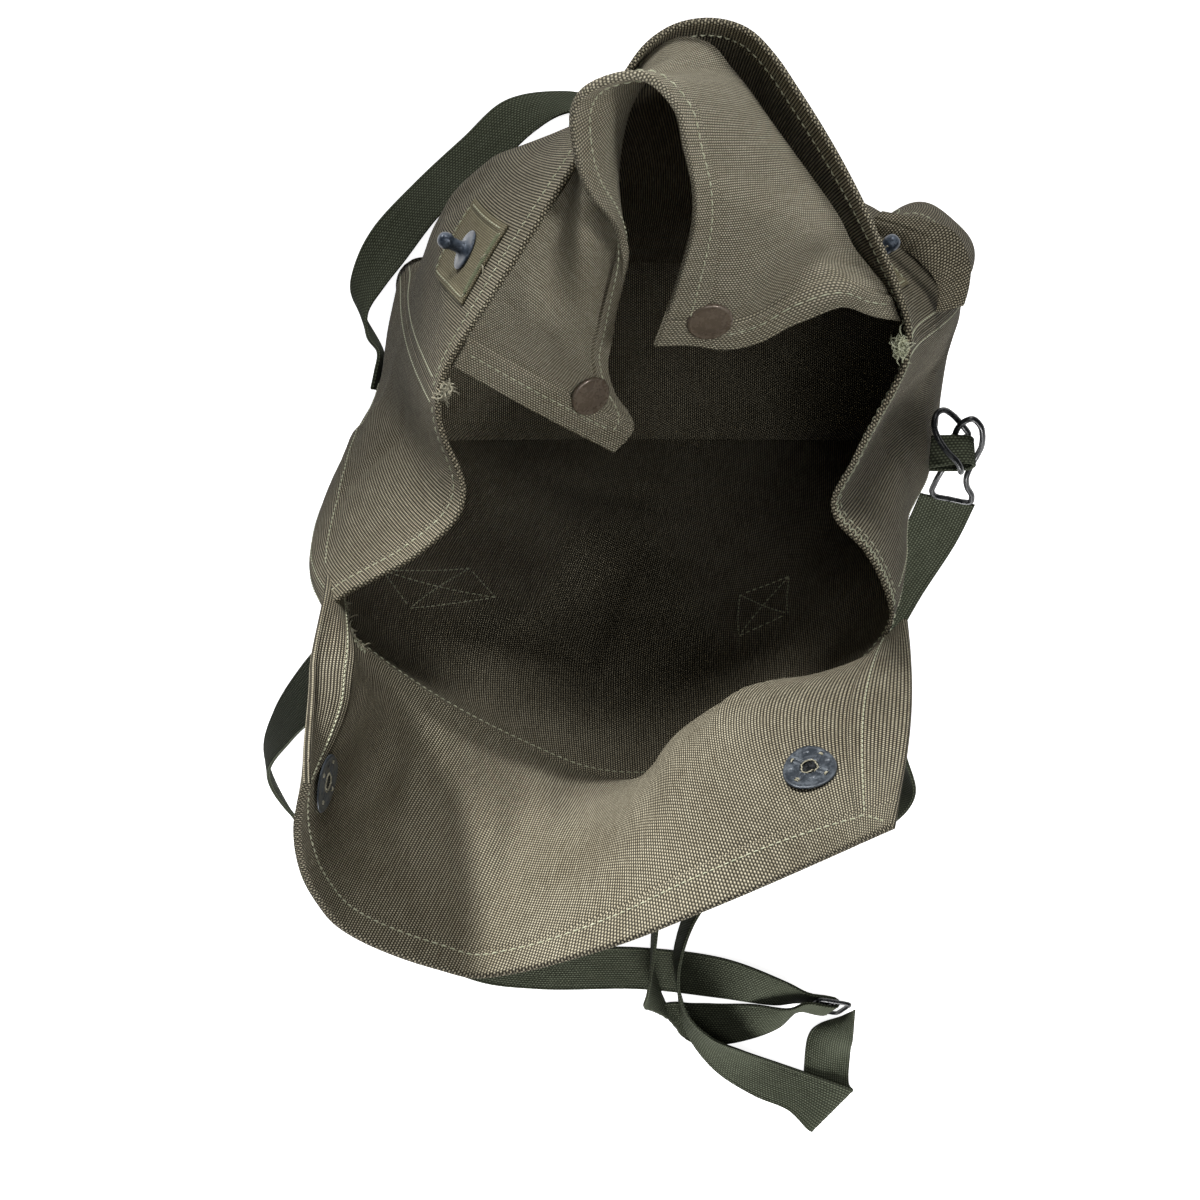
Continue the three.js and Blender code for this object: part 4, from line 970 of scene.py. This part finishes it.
print("crosswise lines:", len(SHOULDER_ROUTE + TAIL_ROUTE + HOOK_ROUTE + WAIST_ROUTE))


# %% Rows of a strap
def width_way(heading, tilt):
    """The direction of a strap's width."""
    h = np.radians(heading)
    t = np.radians(tilt)
    return np.array([np.cos(t) * np.cos(h), np.cos(t) * np.sin(h), np.sin(t)])


def route_rows(route):
    """Rows of a strap from a route: the middle and the half width as a vector."""
    return [(np.array(row[:3], float), width_way(row[3], row[4]) * (row[5] if len(row) > 5 else WEB_HALF))
            for row in route]


buckle_up = width_way(BUCKLE_HEADING, BUCKLE_TILT)
buckle_ahead = np.array([np.sin(np.radians(BUCKLE_HEADING)), -np.cos(np.radians(BUCKLE_HEADING)), 0])
buckle_out = np.cross(buckle_ahead, buckle_up)


def buckle_row(ahead, out):
    """A crosswise line as wide as the webbing, ahead of the buckle's middle bar and out of its plane."""
    return BUCKLE["at"] + buckle_ahead * ahead + buckle_out * out, buckle_up * WEB_HALF


def sewn_rows(name, start, end, count):
    """Rows of webbing sewn flat on a wall along a straight line across and along it."""
    rows = []
    step = np.array(end) - np.array(start)
    for k in range(count + 1):
        s, t = np.array(start) + step * k / count
        place, normal = seat(name, s, t)
        ahead = seat(name, s + step[0] * 0.1, t + step[1] * 0.1)[0]
        rows.append((place + normal * WEB_LIFT, unit(np.cross(unit(ahead - place), normal)) * WEB_HALF))
    return rows


# %% A strap through its rows
def curve(points, steps):
    """A smooth curve through points, paced by the square root of their distances, with steps per span."""
    points = np.asarray(points, float)
    ends = np.concatenate([[2 * points[0] - points[1]], points, [2 * points[-1] - points[-2]]])
    gap = np.maximum(np.linalg.norm(np.diff(ends, axis=0), axis=1), 1e-6) ** 0.5
    found = []
    for k, count in enumerate(steps):
        p0, p1, p2, p3 = ends[k:k + 4]
        d0, d1, d2 = gap[k:k + 3]
        leave = ((p1 - p0) / d0 - (p2 - p0) / (d0 + d1) + (p2 - p1) / d1) * d1
        arrive = ((p2 - p1) / d1 - (p3 - p1) / (d1 + d2) + (p3 - p2) / d2) * d1
        f = (np.arange(count) / count)[:, None]
        square = 3 * (p2 - p1) - 2 * leave - arrive
        cube = leave + arrive - 2 * (p2 - p1)
        found.append(p1 + f * (leave + f * (square + f * cube)))
    return np.concatenate(found + [points[-1:]])


def strap_grid(rows):
    """Two edge curves through the ends of the rows, as a grid of points along the strap."""
    places = np.array([row[0] for row in rows])
    reach = np.array([row[1] for row in rows])
    steps = np.maximum(4, np.round(np.linalg.norm(np.diff(places, axis=0), axis=1) / 2.5)).astype(int)
    return np.stack([curve(places + reach, steps), curve(places - reach, steps)], axis=1)


def strap(name, node, rows, rests_on):
    """A strap: points of its two edges, paced evenly by length, and a straight line across."""
    grid = strap_grid(rows)
    middle = grid.mean(axis=1)
    run = np.concatenate([[0], np.cumsum(np.linalg.norm(np.diff(middle, axis=0), axis=1))])
    marks = np.arange(len(run))

    def surface(s, t):
        at = np.interp(np.asarray(t) * run[-1], run, marks)
        k = np.clip(at.astype(int), 0, len(run) - 2)
        f = (at - k)[:, None, None]
        edges = grid[k] * (1 - f) + grid[k + 1] * f
        s = np.asarray(s)[None, :, None]
        return edges[:, :1] * (1 - s) + edges[:, 1:] * s
    cloth(name, [node], surface, 2.0 * WEB_HALF, run[-1], WEBBING, "webbing", "laid", step=1.9,
          hems=(1.6, 1.6, 0, 0), fold=(0.12, 0.12), rests_on=rests_on)


# Where the shoulder strap is sewn to the back wall: its start and end across and along the wall
LEFT_ANCHOR = ((0.72, 0.52), (0.84, 0.66))
RIGHT_ANCHOR = ((0.27, 0.5), (0.26, 0.64))
strap("shoulder_webbing", "shoulder_strap", [
    *sewn_rows("back", *LEFT_ANCHOR, 3),
    *route_rows(SHOULDER_ROUTE),
    *[buckle_row(*row) for row in BUCKLE_TURN],
    *route_rows(TAIL_ROUTE),
    *sewn_rows("back", *RIGHT_ANCHOR, 3),
], ("table", "back_wall"))
strap("hook_webbing", "hook_strap", [
    *route_rows(HOOK_ROUTE), buckle_row(BUCKLE["deep"] / 2 + 1.5, 2),
], ("table",))
strap("waist_webbing", "waist_strap", [
    *sewn_rows("left", (0.35, 0.14), (0.55, 0.13), 2), *route_rows(WAIST_ROUTE),
], ("table", "left_wall"))

# %% [markdown]
# ## Stud patches and studs
# The flap closes on two steel studs. Each is riveted through a small patch of olive twill, turned under at
# its edges and sewn to the front wall. The patch is a cloth whose middle is the wall's own outer face a
# little further out; the stud is a turned piece, so its profile carried round an axis is all it needs.

# %% Turned pieces
TURN_SIDES = 48


def wrapped_faces(index):
    """The quads of a grid of point numbers whose last column joins its first."""
    return grid_faces(np.concatenate([index, index[:, :1]], axis=1))


def turned(name, node, profile, at, axis, finish):
    """A turned piece: a profile of radius and height in mm, smoothed, carried once round an axis."""
    line = np.maximum(curve(profile, [3] * (len(profile) - 1)), [0.03, 0])
    side = unit(np.cross(axis, [0.3, 0.8, 0.5]))
    turn = np.arange(TURN_SIDES) * 2 * np.pi / TURN_SIDES
    spoke = np.cos(turn)[:, None] * side + np.sin(turn)[:, None] * np.cross(axis, side)
    points = at + line[:, 1, None, None] * axis + line[:, 0, None, None] * spoke
    index = np.arange(points.shape[0] * TURN_SIDES).reshape(-1, TURN_SIDES)
    faces = wrapped_faces(index).tolist() + [index[0].tolist(), index[-1, ::-1].tolist()]
    piece = mesh_object(name, points.reshape(-1, 3), faces, None, finish)
    if node:
        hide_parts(node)


# %% Stud patches and studs
# The middle of each patch and half of its sides, as fractions across and along the front wall, and its
# thickness and its height off the wall in mm
STUD_PLACES = {"left": (0.165, 0.84), "right": (0.872, 0.84)}
STUD_PATCH = {"across": 0.055, "along": 0.09, "thick": 0.8, "lift": 0.55}
STUD_PROFILE = [
    (0.05, 0), (7.0, 0), (7.45, 0.25), (7.45, 0.7), (6.9, 1.05), (5, 1.25), (3.4, 1.6), (2.7, 2.2),
    (2.35, 3.2), (2.3, 5.2), (2.45, 6.2), (2.95, 7.2), (3.0, 8.2), (2.75, 9.5), (2.1, 10.5), (1.2, 11.05),
    (0.05, 11.2),
]


def patch_on(base, left, right, low, high, lift):
    """A function of two fractions that follows the outer face of a cloth between places in mm."""
    def surface(s, t):
        x, y = np.meshgrid(left + (right - left) * np.asarray(s), low + (high - low) * np.asarray(t))
        points, _ = base.at(x.ravel(), y.ravel(), 1, lift)
        return points.reshape(x.shape + (3,))
    return surface


patches = {}
for end, (s, t) in STUD_PLACES.items():
    half_wide = STUD_PATCH["across"] * front_size[0]
    half_tall = STUD_PATCH["along"] * front_size[1]
    x = s * front_size[0]
    y = t * front_size[1]
    sides = (x - half_wide, x + half_wide, y - half_tall, y + half_tall)
    surface = patch_on(front_wall, *sides, STUD_PATCH["lift"])
    patches[end] = cloth("patch_" + end, ["stud_patch_" + end], surface, 2 * half_wide, 2 * half_tall, TWILL,
                         "twill", "laid", step=1.3, thick=STUD_PATCH["thick"], hems=(3, 3, 3, 3),
                         fold=(0.25, 0), rests_on=("front_wall",))
    seat_at, seat_way = patches[end].at([half_wide], [half_tall], 1, 0.1)
    turned("stud_post_" + end, "stud_" + end, STUD_PROFILE, seat_at[0], seat_way[0], STUD)

# %% [markdown]
# ## Snap caps, sockets and plates
# The inner flap carries two brown snap caps. The flap carries the sockets that take the studs: outside a
# domed egg-shaped socket, inside a flat plate whose four prongs are bent through the canvas. Both are
# stamped from sheet, so their relief is a height over rings that run from the hole to the rim. A black disc
# in each plate's hole is painted shade: it stands for the darkness down the hole.

# %% Relief of the plates and sockets
PLATE = {"wide": 17, "tall": 19.5, "hole": 3}
SOCKET = {"wide": 16, "tall": 19, "hole": 3.2}
EGG_TAPER = 0.14
EGG_SIDES = 160
TOP_RINGS = np.concatenate([[0, 0.03, 0.07], np.linspace(0.12, 0.84, 26), [0.88, 0.92, 0.95, 0.975, 0.99, 1]])


def arch(values):
    """A quarter circle from 0 to 1."""
    return np.sqrt(1 - (1 - np.clip(values, 0, 1)) ** 2)


def box(values, half):
    """1 within a half width of 0 and 0 outside it, with a soft step."""
    return smooth((half - np.abs(values)) / 0.25 + 0.5)


def plate_relief(flat, off_rim, off_hole):
    """A flat plate with a rolled rim, four square dents on the axes and four cut prongs on the diagonals."""
    height = 0.5 * arch(off_rim / 0.5) * (0.6 + 0.4 * arch(off_hole / 0.5))
    height += 0.12 * np.exp(-(((off_rim - 0.8) / 0.5) ** 2))
    for k in range(8):
        way = np.array([np.cos(k * np.pi / 4), np.sin(k * np.pi / 4)])
        along = flat @ way
        across = np.abs(flat @ np.array([-way[1], way[0]]))
        if k % 2 == 0:
            height -= 0.22 * box(along - 6.0, 0.8) * box(across, 0.85)
        else:
            height -= 0.3 * box(along - 4.9, 1.6) * box(across - 0.85, 0.28)
            height -= 0.45 * box(along - 6.6, 0.6) * box(across, 0.9)
    return height


def socket_relief(_, off_rim, off_hole):
    """A dome with a step round its foot and a lip round its hole."""
    dome = 0.9 * arch(off_rim / 0.8) + 1.7 * arch((off_rim - 1.4) / 3.2)
    return dome * (0.6 + 0.4 * arch(off_hole / 0.6)) + 0.5 * np.exp(-(((off_hole - 0.8) / 0.5) ** 2))


# %% Stamped pieces
def egg(name, node, size, relief, at, axis, up):
    """A stamped piece: rings from a round hole to an egg-shaped rim and back below, closed on itself."""
    turn = np.arange(EGG_SIDES) * 2 * np.pi / EGG_SIDES
    spoke = np.stack([np.cos(turn), np.sin(turn)], axis=1)
    taper = np.stack([1 + EGG_TAPER * np.sin(turn), np.ones(EGG_SIDES)], axis=1)
    rim = spoke * [size["wide"] / 2, size["tall"] / 2] * taper
    hole = size["hole"] * spoke
    q = np.concatenate([TOP_RINGS, [0.97, 0.6, 0.2, 0]])[:, None, None]
    flat = hole * (1 - q) + rim * q
    height = relief(flat, np.linalg.norm(rim - flat, axis=2), np.linalg.norm(flat - hole, axis=2))
    height[len(TOP_RINGS):] = 0
    height = np.maximum(height, 0.02 * (np.arange(len(height)) < len(TOP_RINGS))[:, None])
    side = np.cross(up, axis)
    points = at + flat[..., :1] * side + flat[..., 1:] * up + height[..., None] * axis
    index = np.arange(height.size).reshape(height.shape)
    faces = wrapped_faces(np.concatenate([index, index[:1]]))
    piece = mesh_object(name, points.reshape(-1, 3), faces, None, STEEL)
    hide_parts(node)
    return side


# %% Snap caps, sockets and plates
# Fractions across and along the inner flap and the flap, the second measured from the flap's left
SNAP_PLACES = {"left": (0.06, 0.715), "right": (0.955, 0.8)}
SOCKET_PLACES = {"left": (0.08, 0.79), "right": (0.915, 0.735)}
# How far each socket and each plate stands off the bent cloth
PLATE_GAPS = {"left": (0.7, 1.15), "right": (1.4, 0.7)}
SNAP_PROFILE = [
    (0.05, 0), (7.0, 0), (7.6, 0.3), (7.75, 0.9), (7.45, 1.5), (6.8, 1.8), (6.2, 1.72), (4, 2.1), (2, 2.35),
    (0.05, 2.4),
]
# The black disc in each plate's hole, painted shade of the hole: radius and height in mm
HOLE_SHADE_PROFILE = [(0.05, -0.1), (2.9, -0.1), (2.9, 0.05), (1.8, 0.1), (0.05, 0.15)]
plate_frames = []
for end, (s, t) in SNAP_PLACES.items():
    seat_at, seat_way = inner_flap.at([s * inner_size[0]], [t * inner_size[1]], 1, 0.3)
    turned("cap_" + end, "snap_cap_" + end, SNAP_PROFILE, seat_at[0], seat_way[0], BROWN)
for end, (s, t) in SOCKET_PLACES.items():
    x = (1 - s) * flap_size[0]
    y = t * flap_size[1]
    for way, gap, name, size, relief in ((1, PLATE_GAPS[end][0], "socket", SOCKET, socket_relief),
                                         (-1, PLATE_GAPS[end][1], "plate", PLATE, plate_relief)):
        pair, directions = flap.at([x, x], [y, y + 3], way, gap)
        axis = directions[0]
        up = pair[1] - pair[0]
        up = unit(up - axis * np.dot(up, axis))
        side = egg(name + "_dome_" + end, name + "_" + end, size, relief, pair[0], axis, up)
        if name == "plate":
            plate_frames.append((pair[0], axis, up, side))
            # A black disc in the hole as painted shade
            turned("plate_cup_" + end, None, HOLE_SHADE_PROFILE, pair[0], axis, BLACK)
print("plates:", len(plate_frames))

# %% [markdown]
# ## Buckle, side tab and wire hook
# The slide buckle is a painted frame of round-edged bars. The hook is one length of spring wire, bent into
# two loops that catch in a small webbing tab on the right gusset. A wire is a circle carried along a smooth
# path; each ring takes over the direction of the last, so that the circle never spins.

# %% Path of the hook and shape of the tab
WIRE_RADIUS = 1.3
HOOK_WIRE = [
    (128.5, -59, 80.5), (121.6, -57.5, 80.9), (119.2, -54.6, 83.5), (119.2, -50.5, 88),
    (119.6, -46.5, 92.5), (121, -41.5, 96.3), (124, -35, 96.3), (127.3, -28.5, 98.6), (129.5, -26, 103),
    (125.2, -20.7, 106), (120.7, -16.4, 109), (116, -13.8, 112), (112.3, -15.1, 115),
    (110.9, -19.5, 117.5), (112.6, -24.8, 119), (116.9, -30.8, 119.5), (121, -34.7, 119.5),
    (123.2, -38, 118), (124.4, -40.3, 114.5), (124.5, -39, 111), (122, -33, 108), (121.2, -27.4, 104.9),
    (122.6, -26, 105.5), (122.7, -22.6, 109.5), (123.5, -20.2, 112), (125.1, -18.2, 114),
    (128.1, -17.3, 114.5), (131.8, -20.5, 113.5), (133.7, -24.8, 110.5), (135, -30.5, 105),
    (134.8, -35.7, 99), (133.2, -40.9, 96), (132.1, -46.4, 93.5), (133.8, -51.7, 89),
    (137.2, -56.5, 84.5), (137.6, -60.2, 81.2), (134.5, -60.3, 80.5), (131.5, -59.7, 80.5),
    (128.2, -59, 80.5),
]
TAB_PLACE = {"across": 0.78, "along": 0.455}
TAB_LEAN = np.radians(-30)
TAB_HALF = 6.5
TAB_FOOT = 2.1
TAB_STRAIGHT = 14
# A place along the tab: fraction of its length, reach out from the gusset, and rise
TAB_PROFILE = [
    (0, 0, -2), (0.2, 8, -4), (0.35, 13.5, -4.75), (0.44, 17, -3.5), (0.5, 18.5, 0), (0.56, 17, 3.5),
    (0.65, 13.5, 4.75), (0.8, 8, 4), (1, 0, 2),
]


print("points of the hook:", len(HOOK_WIRE))


# %% Wires and the buckle's frame
WIRE_SIDES = 16


def tube(name, node, path, radius):
    """A round wire: circles along a path, each turned as little as its bend allows."""
    way = unit(np.gradient(path, axis=0))
    sideways = [unit(np.cross(way[0], [0.2, 0.1, 1.0]))]
    for step in way[1:]:
        sideways.append(unit(sideways[-1] - step * np.dot(sideways[-1], step)))
    sideways = np.array(sideways)
    turn = np.arange(WIRE_SIDES)[:, None] * 2 * np.pi / WIRE_SIDES
    ring = sideways[:, None] * np.cos(turn) + np.cross(way, sideways)[:, None] * np.sin(turn)
    points = path[:, None] + radius * ring
    index = np.arange(len(path) * WIRE_SIDES).reshape(-1, WIRE_SIDES)
    faces = wrapped_faces(index).tolist() + [index[0].tolist(), index[-1, ::-1].tolist()]
    piece = mesh_object(name, points.reshape(-1, 3), faces, None, BLACK)
    if node:
        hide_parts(node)


def buckle_frame():
    """A closed bar: an ellipse carried round a rounded rectangle in the buckle's own plane."""
    bar = BUCKLE["bar"]
    turn = np.linspace(0, 2 * np.pi, 120, endpoint=False)
    spoke = np.stack([np.cos(turn), np.sin(turn)], axis=1)
    half = np.array([BUCKLE["deep"] - bar, BUCKLE["wide"] - bar]) / 2
    loop = spoke / (np.abs(spoke / half) ** 9).sum(axis=1, keepdims=True) ** (1 / 9)
    ahead = np.roll(loop, -1, axis=0) - np.roll(loop, 1, axis=0)
    outward = unit(np.stack([ahead[:, 1], -ahead[:, 0]], axis=1))
    girth = np.linspace(0, 2 * np.pi, 16, endpoint=False)
    flat = loop[:, None] + outward[:, None] * (bar / 2 * np.cos(girth))[:, None]
    height = np.broadcast_to(BUCKLE["thick"] / 2 * np.sin(girth), flat.shape[:2])[..., None]
    points = BUCKLE["at"] + flat[..., :1] * buckle_ahead + flat[..., 1:] * buckle_up + height * buckle_out
    index = np.arange(points.shape[0] * points.shape[1]).reshape(points.shape[:2])
    faces = wrapped_faces(np.concatenate([index, index[:1]]))
    piece = mesh_object("buckle_frame", points.reshape(-1, 3), faces, None, BLACK)
    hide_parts("slide_buckle")


# %% Buckle, side tab and wire hook
def tab_surface(s, t):
    """A loop of webbing: its feet follow the gusset and its bend stands straight out along +X."""
    reach = TAB_HALF * (1 - 2 * np.asarray(s))[None, :, None]
    lay = look_up(TAB_PROFILE, t)[:, None]
    width = np.array([0, np.cos(TAB_LEAN), np.sin(TAB_LEAN)])
    offset = width * reach + np.array([0, -width[2], width[1]]) * lay[..., 2:]
    deep = wall_grid[0, WALLS["right"][0], 1] - wall_grid[0, WALLS["right"][1], 1]
    across = TAB_PLACE["across"] - offset[..., 1] / deep
    along = TAB_PLACE["along"] + offset[..., 2] / (CORNERS[-1][0] - CORNERS[0][0])
    start, end = WALLS["right"]
    rows = (LEVELS * along).ravel()
    columns = (start + (end - start) * across).ravel()
    foot = pick(wall_grid, rows, columns).reshape(offset.shape)
    foot_way = unit(pick(wall_normals, rows, columns)).reshape(offset.shape)
    out = lay[..., 1:2]
    lying = foot + foot_way * TAB_FOOT + out * np.array([1.0, 0, 0])
    standing = seat("right", TAB_PLACE["across"], TAB_PLACE["along"])[0] + offset
    standing = standing + (out + TAB_FOOT) * np.array([1.0, 0, 0])
    straight = np.minimum(1, out / TAB_STRAIGHT)
    return lying * (1 - straight) + standing * straight


buckle_frame()
bar_half = BUCKLE["wide"] / 2 - BUCKLE["bar"] / 2
bar_path = BUCKLE["at"] + buckle_up * np.linspace(-1, 1, 12)[:, None] * bar_half
tube("buckle_bar", None, bar_path, BUCKLE["bar"] / 2 - 0.2)
tube("hook_wire", "wire_hook", curve(HOOK_WIRE, [6] * (len(HOOK_WIRE) - 1)), WIRE_RADIUS)
cloth("tab_webbing", ["side_tab"], tab_surface, 2.0 * TAB_HALF, measure(tab_surface)[1], WEBBING, "webbing",
      "folded", step=1.0, hems=(1.2, 1.2, 0, 0), fold=(0.12, 0.12), rests_on=("right_wall",))

# %% [markdown]
# ## Stitches
# A lockstitch shows as a row of short pale dashes. Each dash dives into the cloth at both ends and is proud
# of it in the middle, so it is a small spindle: five rings of six points along a bowed path. Rows of them
# follow every hem and seam, measured in millimetres from the edge as on a sewing machine. Two boxes with a
# cross in them hold the shoulder strap, and show inside the back wall. A bar tack of thicker olive thread,
# laid side to side, closes the top of each stud patch.

# %% Threads and rows
STITCH = {"pitch": 2.9, "length": 2.2, "radius": 0.27}
RINGS = 5
SIDES = 6


def threads(name, paths, directions, radius, finish):
    """Many short round threads, each a path of a few points and thinner at its ends."""
    count, rings = paths.shape[:2]
    way = unit(np.gradient(paths, axis=1))
    side = unit(np.cross(way, directions[:, None]))
    up = np.cross(side, way)
    turn = np.arange(SIDES) * 2 * np.pi / SIDES
    girth = radius * (0.5 + 0.5 * np.sin(np.pi * np.linspace(0, 1, rings)))
    ring = up[:, :, None] * np.cos(turn)[:, None] + side[:, :, None] * np.sin(turn)[:, None]
    points = paths[:, :, None] + ring * girth[:, None, None]
    index = np.arange(count * rings * SIDES).reshape(count, rings, SIDES)
    after = np.roll(index, -1, axis=2)
    quads = np.stack([index[:, :-1], after[:, :-1], after[:, 1:], index[:, 1:]], axis=-1).reshape(-1, 4)
    caps = np.concatenate([index[:, 0, ::-1], index[:, -1]])
    faces = quads.tolist() + caps.tolist()
    mesh_object(name, points.reshape(-1, 3), faces, None, finish)
    print(name, count, "threads")


def sew(base, starts, ends, side, radius=STITCH["radius"]):
    """Paths between places on a face of a cloth, in mm: sunk at both ends and proud in the middle."""
    t = np.linspace(0, 1, RINGS)
    places = starts[:, None] * (1 - t[:, None]) + ends[:, None] * t[:, None]
    points, directions = base.at(places[..., 0].ravel(), places[..., 1].ravel(), side)
    points = points.reshape(places.shape[:2] + (3,))
    directions = directions.reshape(points.shape)
    lift = radius * (1.4 * np.sin(np.pi * t) - 0.6)
    return points + directions * lift[:, None], directions[:, RINGS // 2]


def row(base, start, end, side, pitch=STITCH["pitch"], length=STITCH["length"]):
    """A straight row of stitches between two places on a face of a cloth."""
    start = np.array(start, float)
    way = np.array(end, float) - start
    run = np.hypot(*way)
    first = np.arange(int(run / pitch))[:, None] * pitch / run
    return sew(base, start + way * first, start + way * (first + length / run), side)


def stitched(name, rows, radius=STITCH["radius"], finish=THREAD):
    """One piece of all the threads in several rows."""
    paths = np.concatenate([paths for paths, _ in rows])
    directions = np.concatenate([directions for _, directions in rows])
    threads(name, paths, directions, radius, finish)


# %% Rows along hems, seams, boxes and tacks
def hem_rows(base, gap, sides):
    """Rows along the left, right and high edges of a cloth, at a gap from each."""
    wide = base.across[-1]
    tall = base.along[-1]
    found = []
    for side in sides:
        found.append(row(base, (gap, 3), (gap, tall - gap), side))
        found.append(row(base, (wide - gap, 3), (wide - gap, tall - gap), side))
        found.append(row(base, (gap, tall - gap), (wide - gap, tall - gap), side))
    return found


def seam_rows(base, gap, below_rim, sides):
    """Rows beside the two seams of a wall and below its rim."""
    wide = base.across[-1]
    tall = base.along[-1]
    found = [row(base, (gap, 4), (gap, tall - 14), 1), row(base, (wide - gap, 4), (wide - gap, tall - 14), 1)]
    for side in sides:
        found.append(row(base, (2, tall - below_rim), (wide - 2, tall - below_rim), side))
    return found


def box_rows(base, start, end, side):
    """A sewn box with a cross in it, along a line on a cloth and as wide as the webbing it holds."""
    start = np.array(start) * [base.across[-1], base.along[-1]]
    end = np.array(end) * [base.across[-1], base.along[-1]]
    way = unit(end - start)
    half = (WEB_HALF - 2) * np.array([-way[1], way[0]])
    a, b, c, d = start + half, start - half, end - half, end + half
    return [row(base, *line, side) for line in ((a, b), (b, c), (c, d), (d, a), (a, c), (b, d))]


def bar_rows(base, gap, below):
    """A bar tack: threads laid close together across a short line below the high edge of a cloth."""
    x = np.arange(gap, base.across[-1] - gap, 0.6)
    low = np.stack([x, np.full(len(x), base.along[-1] - below - 1.6)], axis=1)
    return [sew(base, low, low + [0.5, 3.2], 1, 0.55)]


def all_of(rows):
    """One list of the rows in several lists."""
    return [part for several in rows for part in several]


# %% Stitches
BOTH = (-1, 1)
TACK_RADIUS = 0.4
flap_corner = row(flap, (9, flap_size[1] - 9), (1, flap_size[1] - 1), -1)
strip = np.array(BACK_STRIP) * left_size - [3, 0]
stitched("flap_stitches", hem_rows(flap, 10, BOTH) + [flap_corner])
stitched("inner_flap_stitches", hem_rows(inner_flap, 7, BOTH))
stitched("front_stitches", seam_rows(front_wall, 4, 8, BOTH))
stitched("gusset_stitches", seam_rows(left_wall, 4, 8, BOTH) + seam_rows(right_wall, 4, 7.5, BOTH))
stitched("strip_stitches", [row(left_wall, start, end, 1) for start, end in zip(strip, strip[1:])])
stitched("back_stitches", seam_rows(back_wall, 4, 4, BOTH))
stitched("pocket_stitches", seam_rows(pocket, 2, 6.5, (1,)) + hem_rows(pocket_flap, 2.5, (1,)))
stitched("patch_stitches", all_of(
    hem_rows(base, 2, (1,)) + [row(base, (2, 2), (base.across[-1] - 2, 2), 1)] for base in patches.values()))
stitched("box_stitches", all_of(box_rows(back_wall, *line, -1) for line in (LEFT_ANCHOR, RIGHT_ANCHOR)))
stitched("bar_tacks", all_of(bar_rows(base, 4, 2) for base in patches.values()), TACK_RADIUS, TACK)

# %% [markdown]
# ## Frayed ends and overlocking
# Old canvas frays where a cut edge was only overlocked. A fray is a handful of threads that leave the cloth
# in one direction and curl; the overlock is a zigzag that runs over the edge. Where a plate's prongs and hole
# cut the canvas, a few threads of it stand round them.

# %% How a thread frays and how an overlock runs
FRAY_RADIUS = 0.28
TOOTH_RADIUS = 0.24
HOLE_THREADS = 16
PRONG_THREADS = 3
chance = np.random.default_rng(7)


def fray(base, left, right, along, side, way, length, count):
    """Threads that leave a strip of a cloth: out along a way and a little back, with a growing curl."""
    x = chance.uniform(left, right, count)
    y = along + chance.uniform(-1.5, 0.5, count)
    start, directions = base.at(x, y, side)
    t = np.linspace(0, 1, RINGS)[None, :, None]
    reach = length * chance.uniform(0.35, 1, count)[:, None, None]
    lean = unit(np.array(way, float) + chance.normal(0, 0.45, (count, 3)))[:, None]
    curl = chance.normal(0, 0.55, (count, 1, 3))
    return start[:, None] + reach * (lean * np.sin(2.4 * t) + curl * t**2), directions


def zigzag(base, start, end, side, depth, pitch):
    """An overlock: threads that run down from an edge and back up to it."""
    start = np.array(start, float)
    way = np.array(end, float) - start
    run = np.hypot(*way)
    count = int(run / pitch)
    high = start + way * (np.arange(count)[:, None] * pitch / run)
    low = high + way * (pitch / 2 / run) - np.array([0, depth])
    down = sew(base, high, low, side)
    up = sew(base, low, high + way * (pitch / run), side)
    return [down, up]


# %% Frays and overlocking
front_wide, front_tall = front_size
right_wide, right_tall = right_size
flap_wide = flap_size[0]
stitched("overlock", zigzag(right_wall, (2, right_tall - 0.6), (right_wide - 2, right_tall - 0.6), 1, 4, 2.2)
         + zigzag(flap, (flap_wide - 26, 5), (flap_wide - 1, 5), -1, 4, 1.8))
ends = [fray(front_wall, 0.5, 6, front_tall, -1, (0.9, -0.3, 0.3), 4, 60)]
for base in patches.values():
    ends.append(fray(base, 3, base.across[-1] - 3, base.along[-1] - 2, 1, (0.3, 0.3, 0.6), 8, 5))
ends.append(fray(flap, flap_wide - 26, flap_wide - 1, 3, -1, (0.1, 0.7, 0.6), 2.6, 80))
stitched("frayed_ends", ends, FRAY_RADIUS, FRAYED)
corner = fray(front_wall, front_wide - 6, front_wide - 0.5, front_tall, -1, (-1.0, -0.1, 0.25), 5, 90)
stitched("frayed_corner", [corner], FRAY_RADIUS, THREAD)

# %% Threads round the plates
teeth = []
for place, axis, up, side in plate_frames:
    t = np.linspace(0, 1, RINGS)[None, :, None]
    turn = np.linspace(0, 2 * np.pi, HOLE_THREADS, endpoint=False)[:, None, None] + 0.55 * t
    reach = 2.7 + chance.uniform(-0.5, 0.4, (HOLE_THREADS, 1, 1))
    paths = place + reach * (side * np.cos(turn) + up * np.sin(turn)) + axis * (0.3 + 0.3 * np.sin(np.pi * t))
    teeth.append((paths, np.broadcast_to(axis, (HOLE_THREADS, 3))))
    for k in range(4):
        turn = np.pi * (k / 2 + 0.25)
        way = side * np.cos(turn) + up * np.sin(turn)
        over = up * np.cos(turn) - side * np.sin(turn)
        reach = 6.5 + chance.uniform(-0.5, 0.4, (PRONG_THREADS, 1, 1))
        paths = place + way * reach + over * (1.7 * t - 0.85) + axis * (0.15 + 0.4 * np.sin(np.pi * t))
        teeth.append((paths, np.broadcast_to(axis, (PRONG_THREADS, 3))))
stitched("canvas_teeth", teeth, TOOTH_RADIUS, FRAYED)
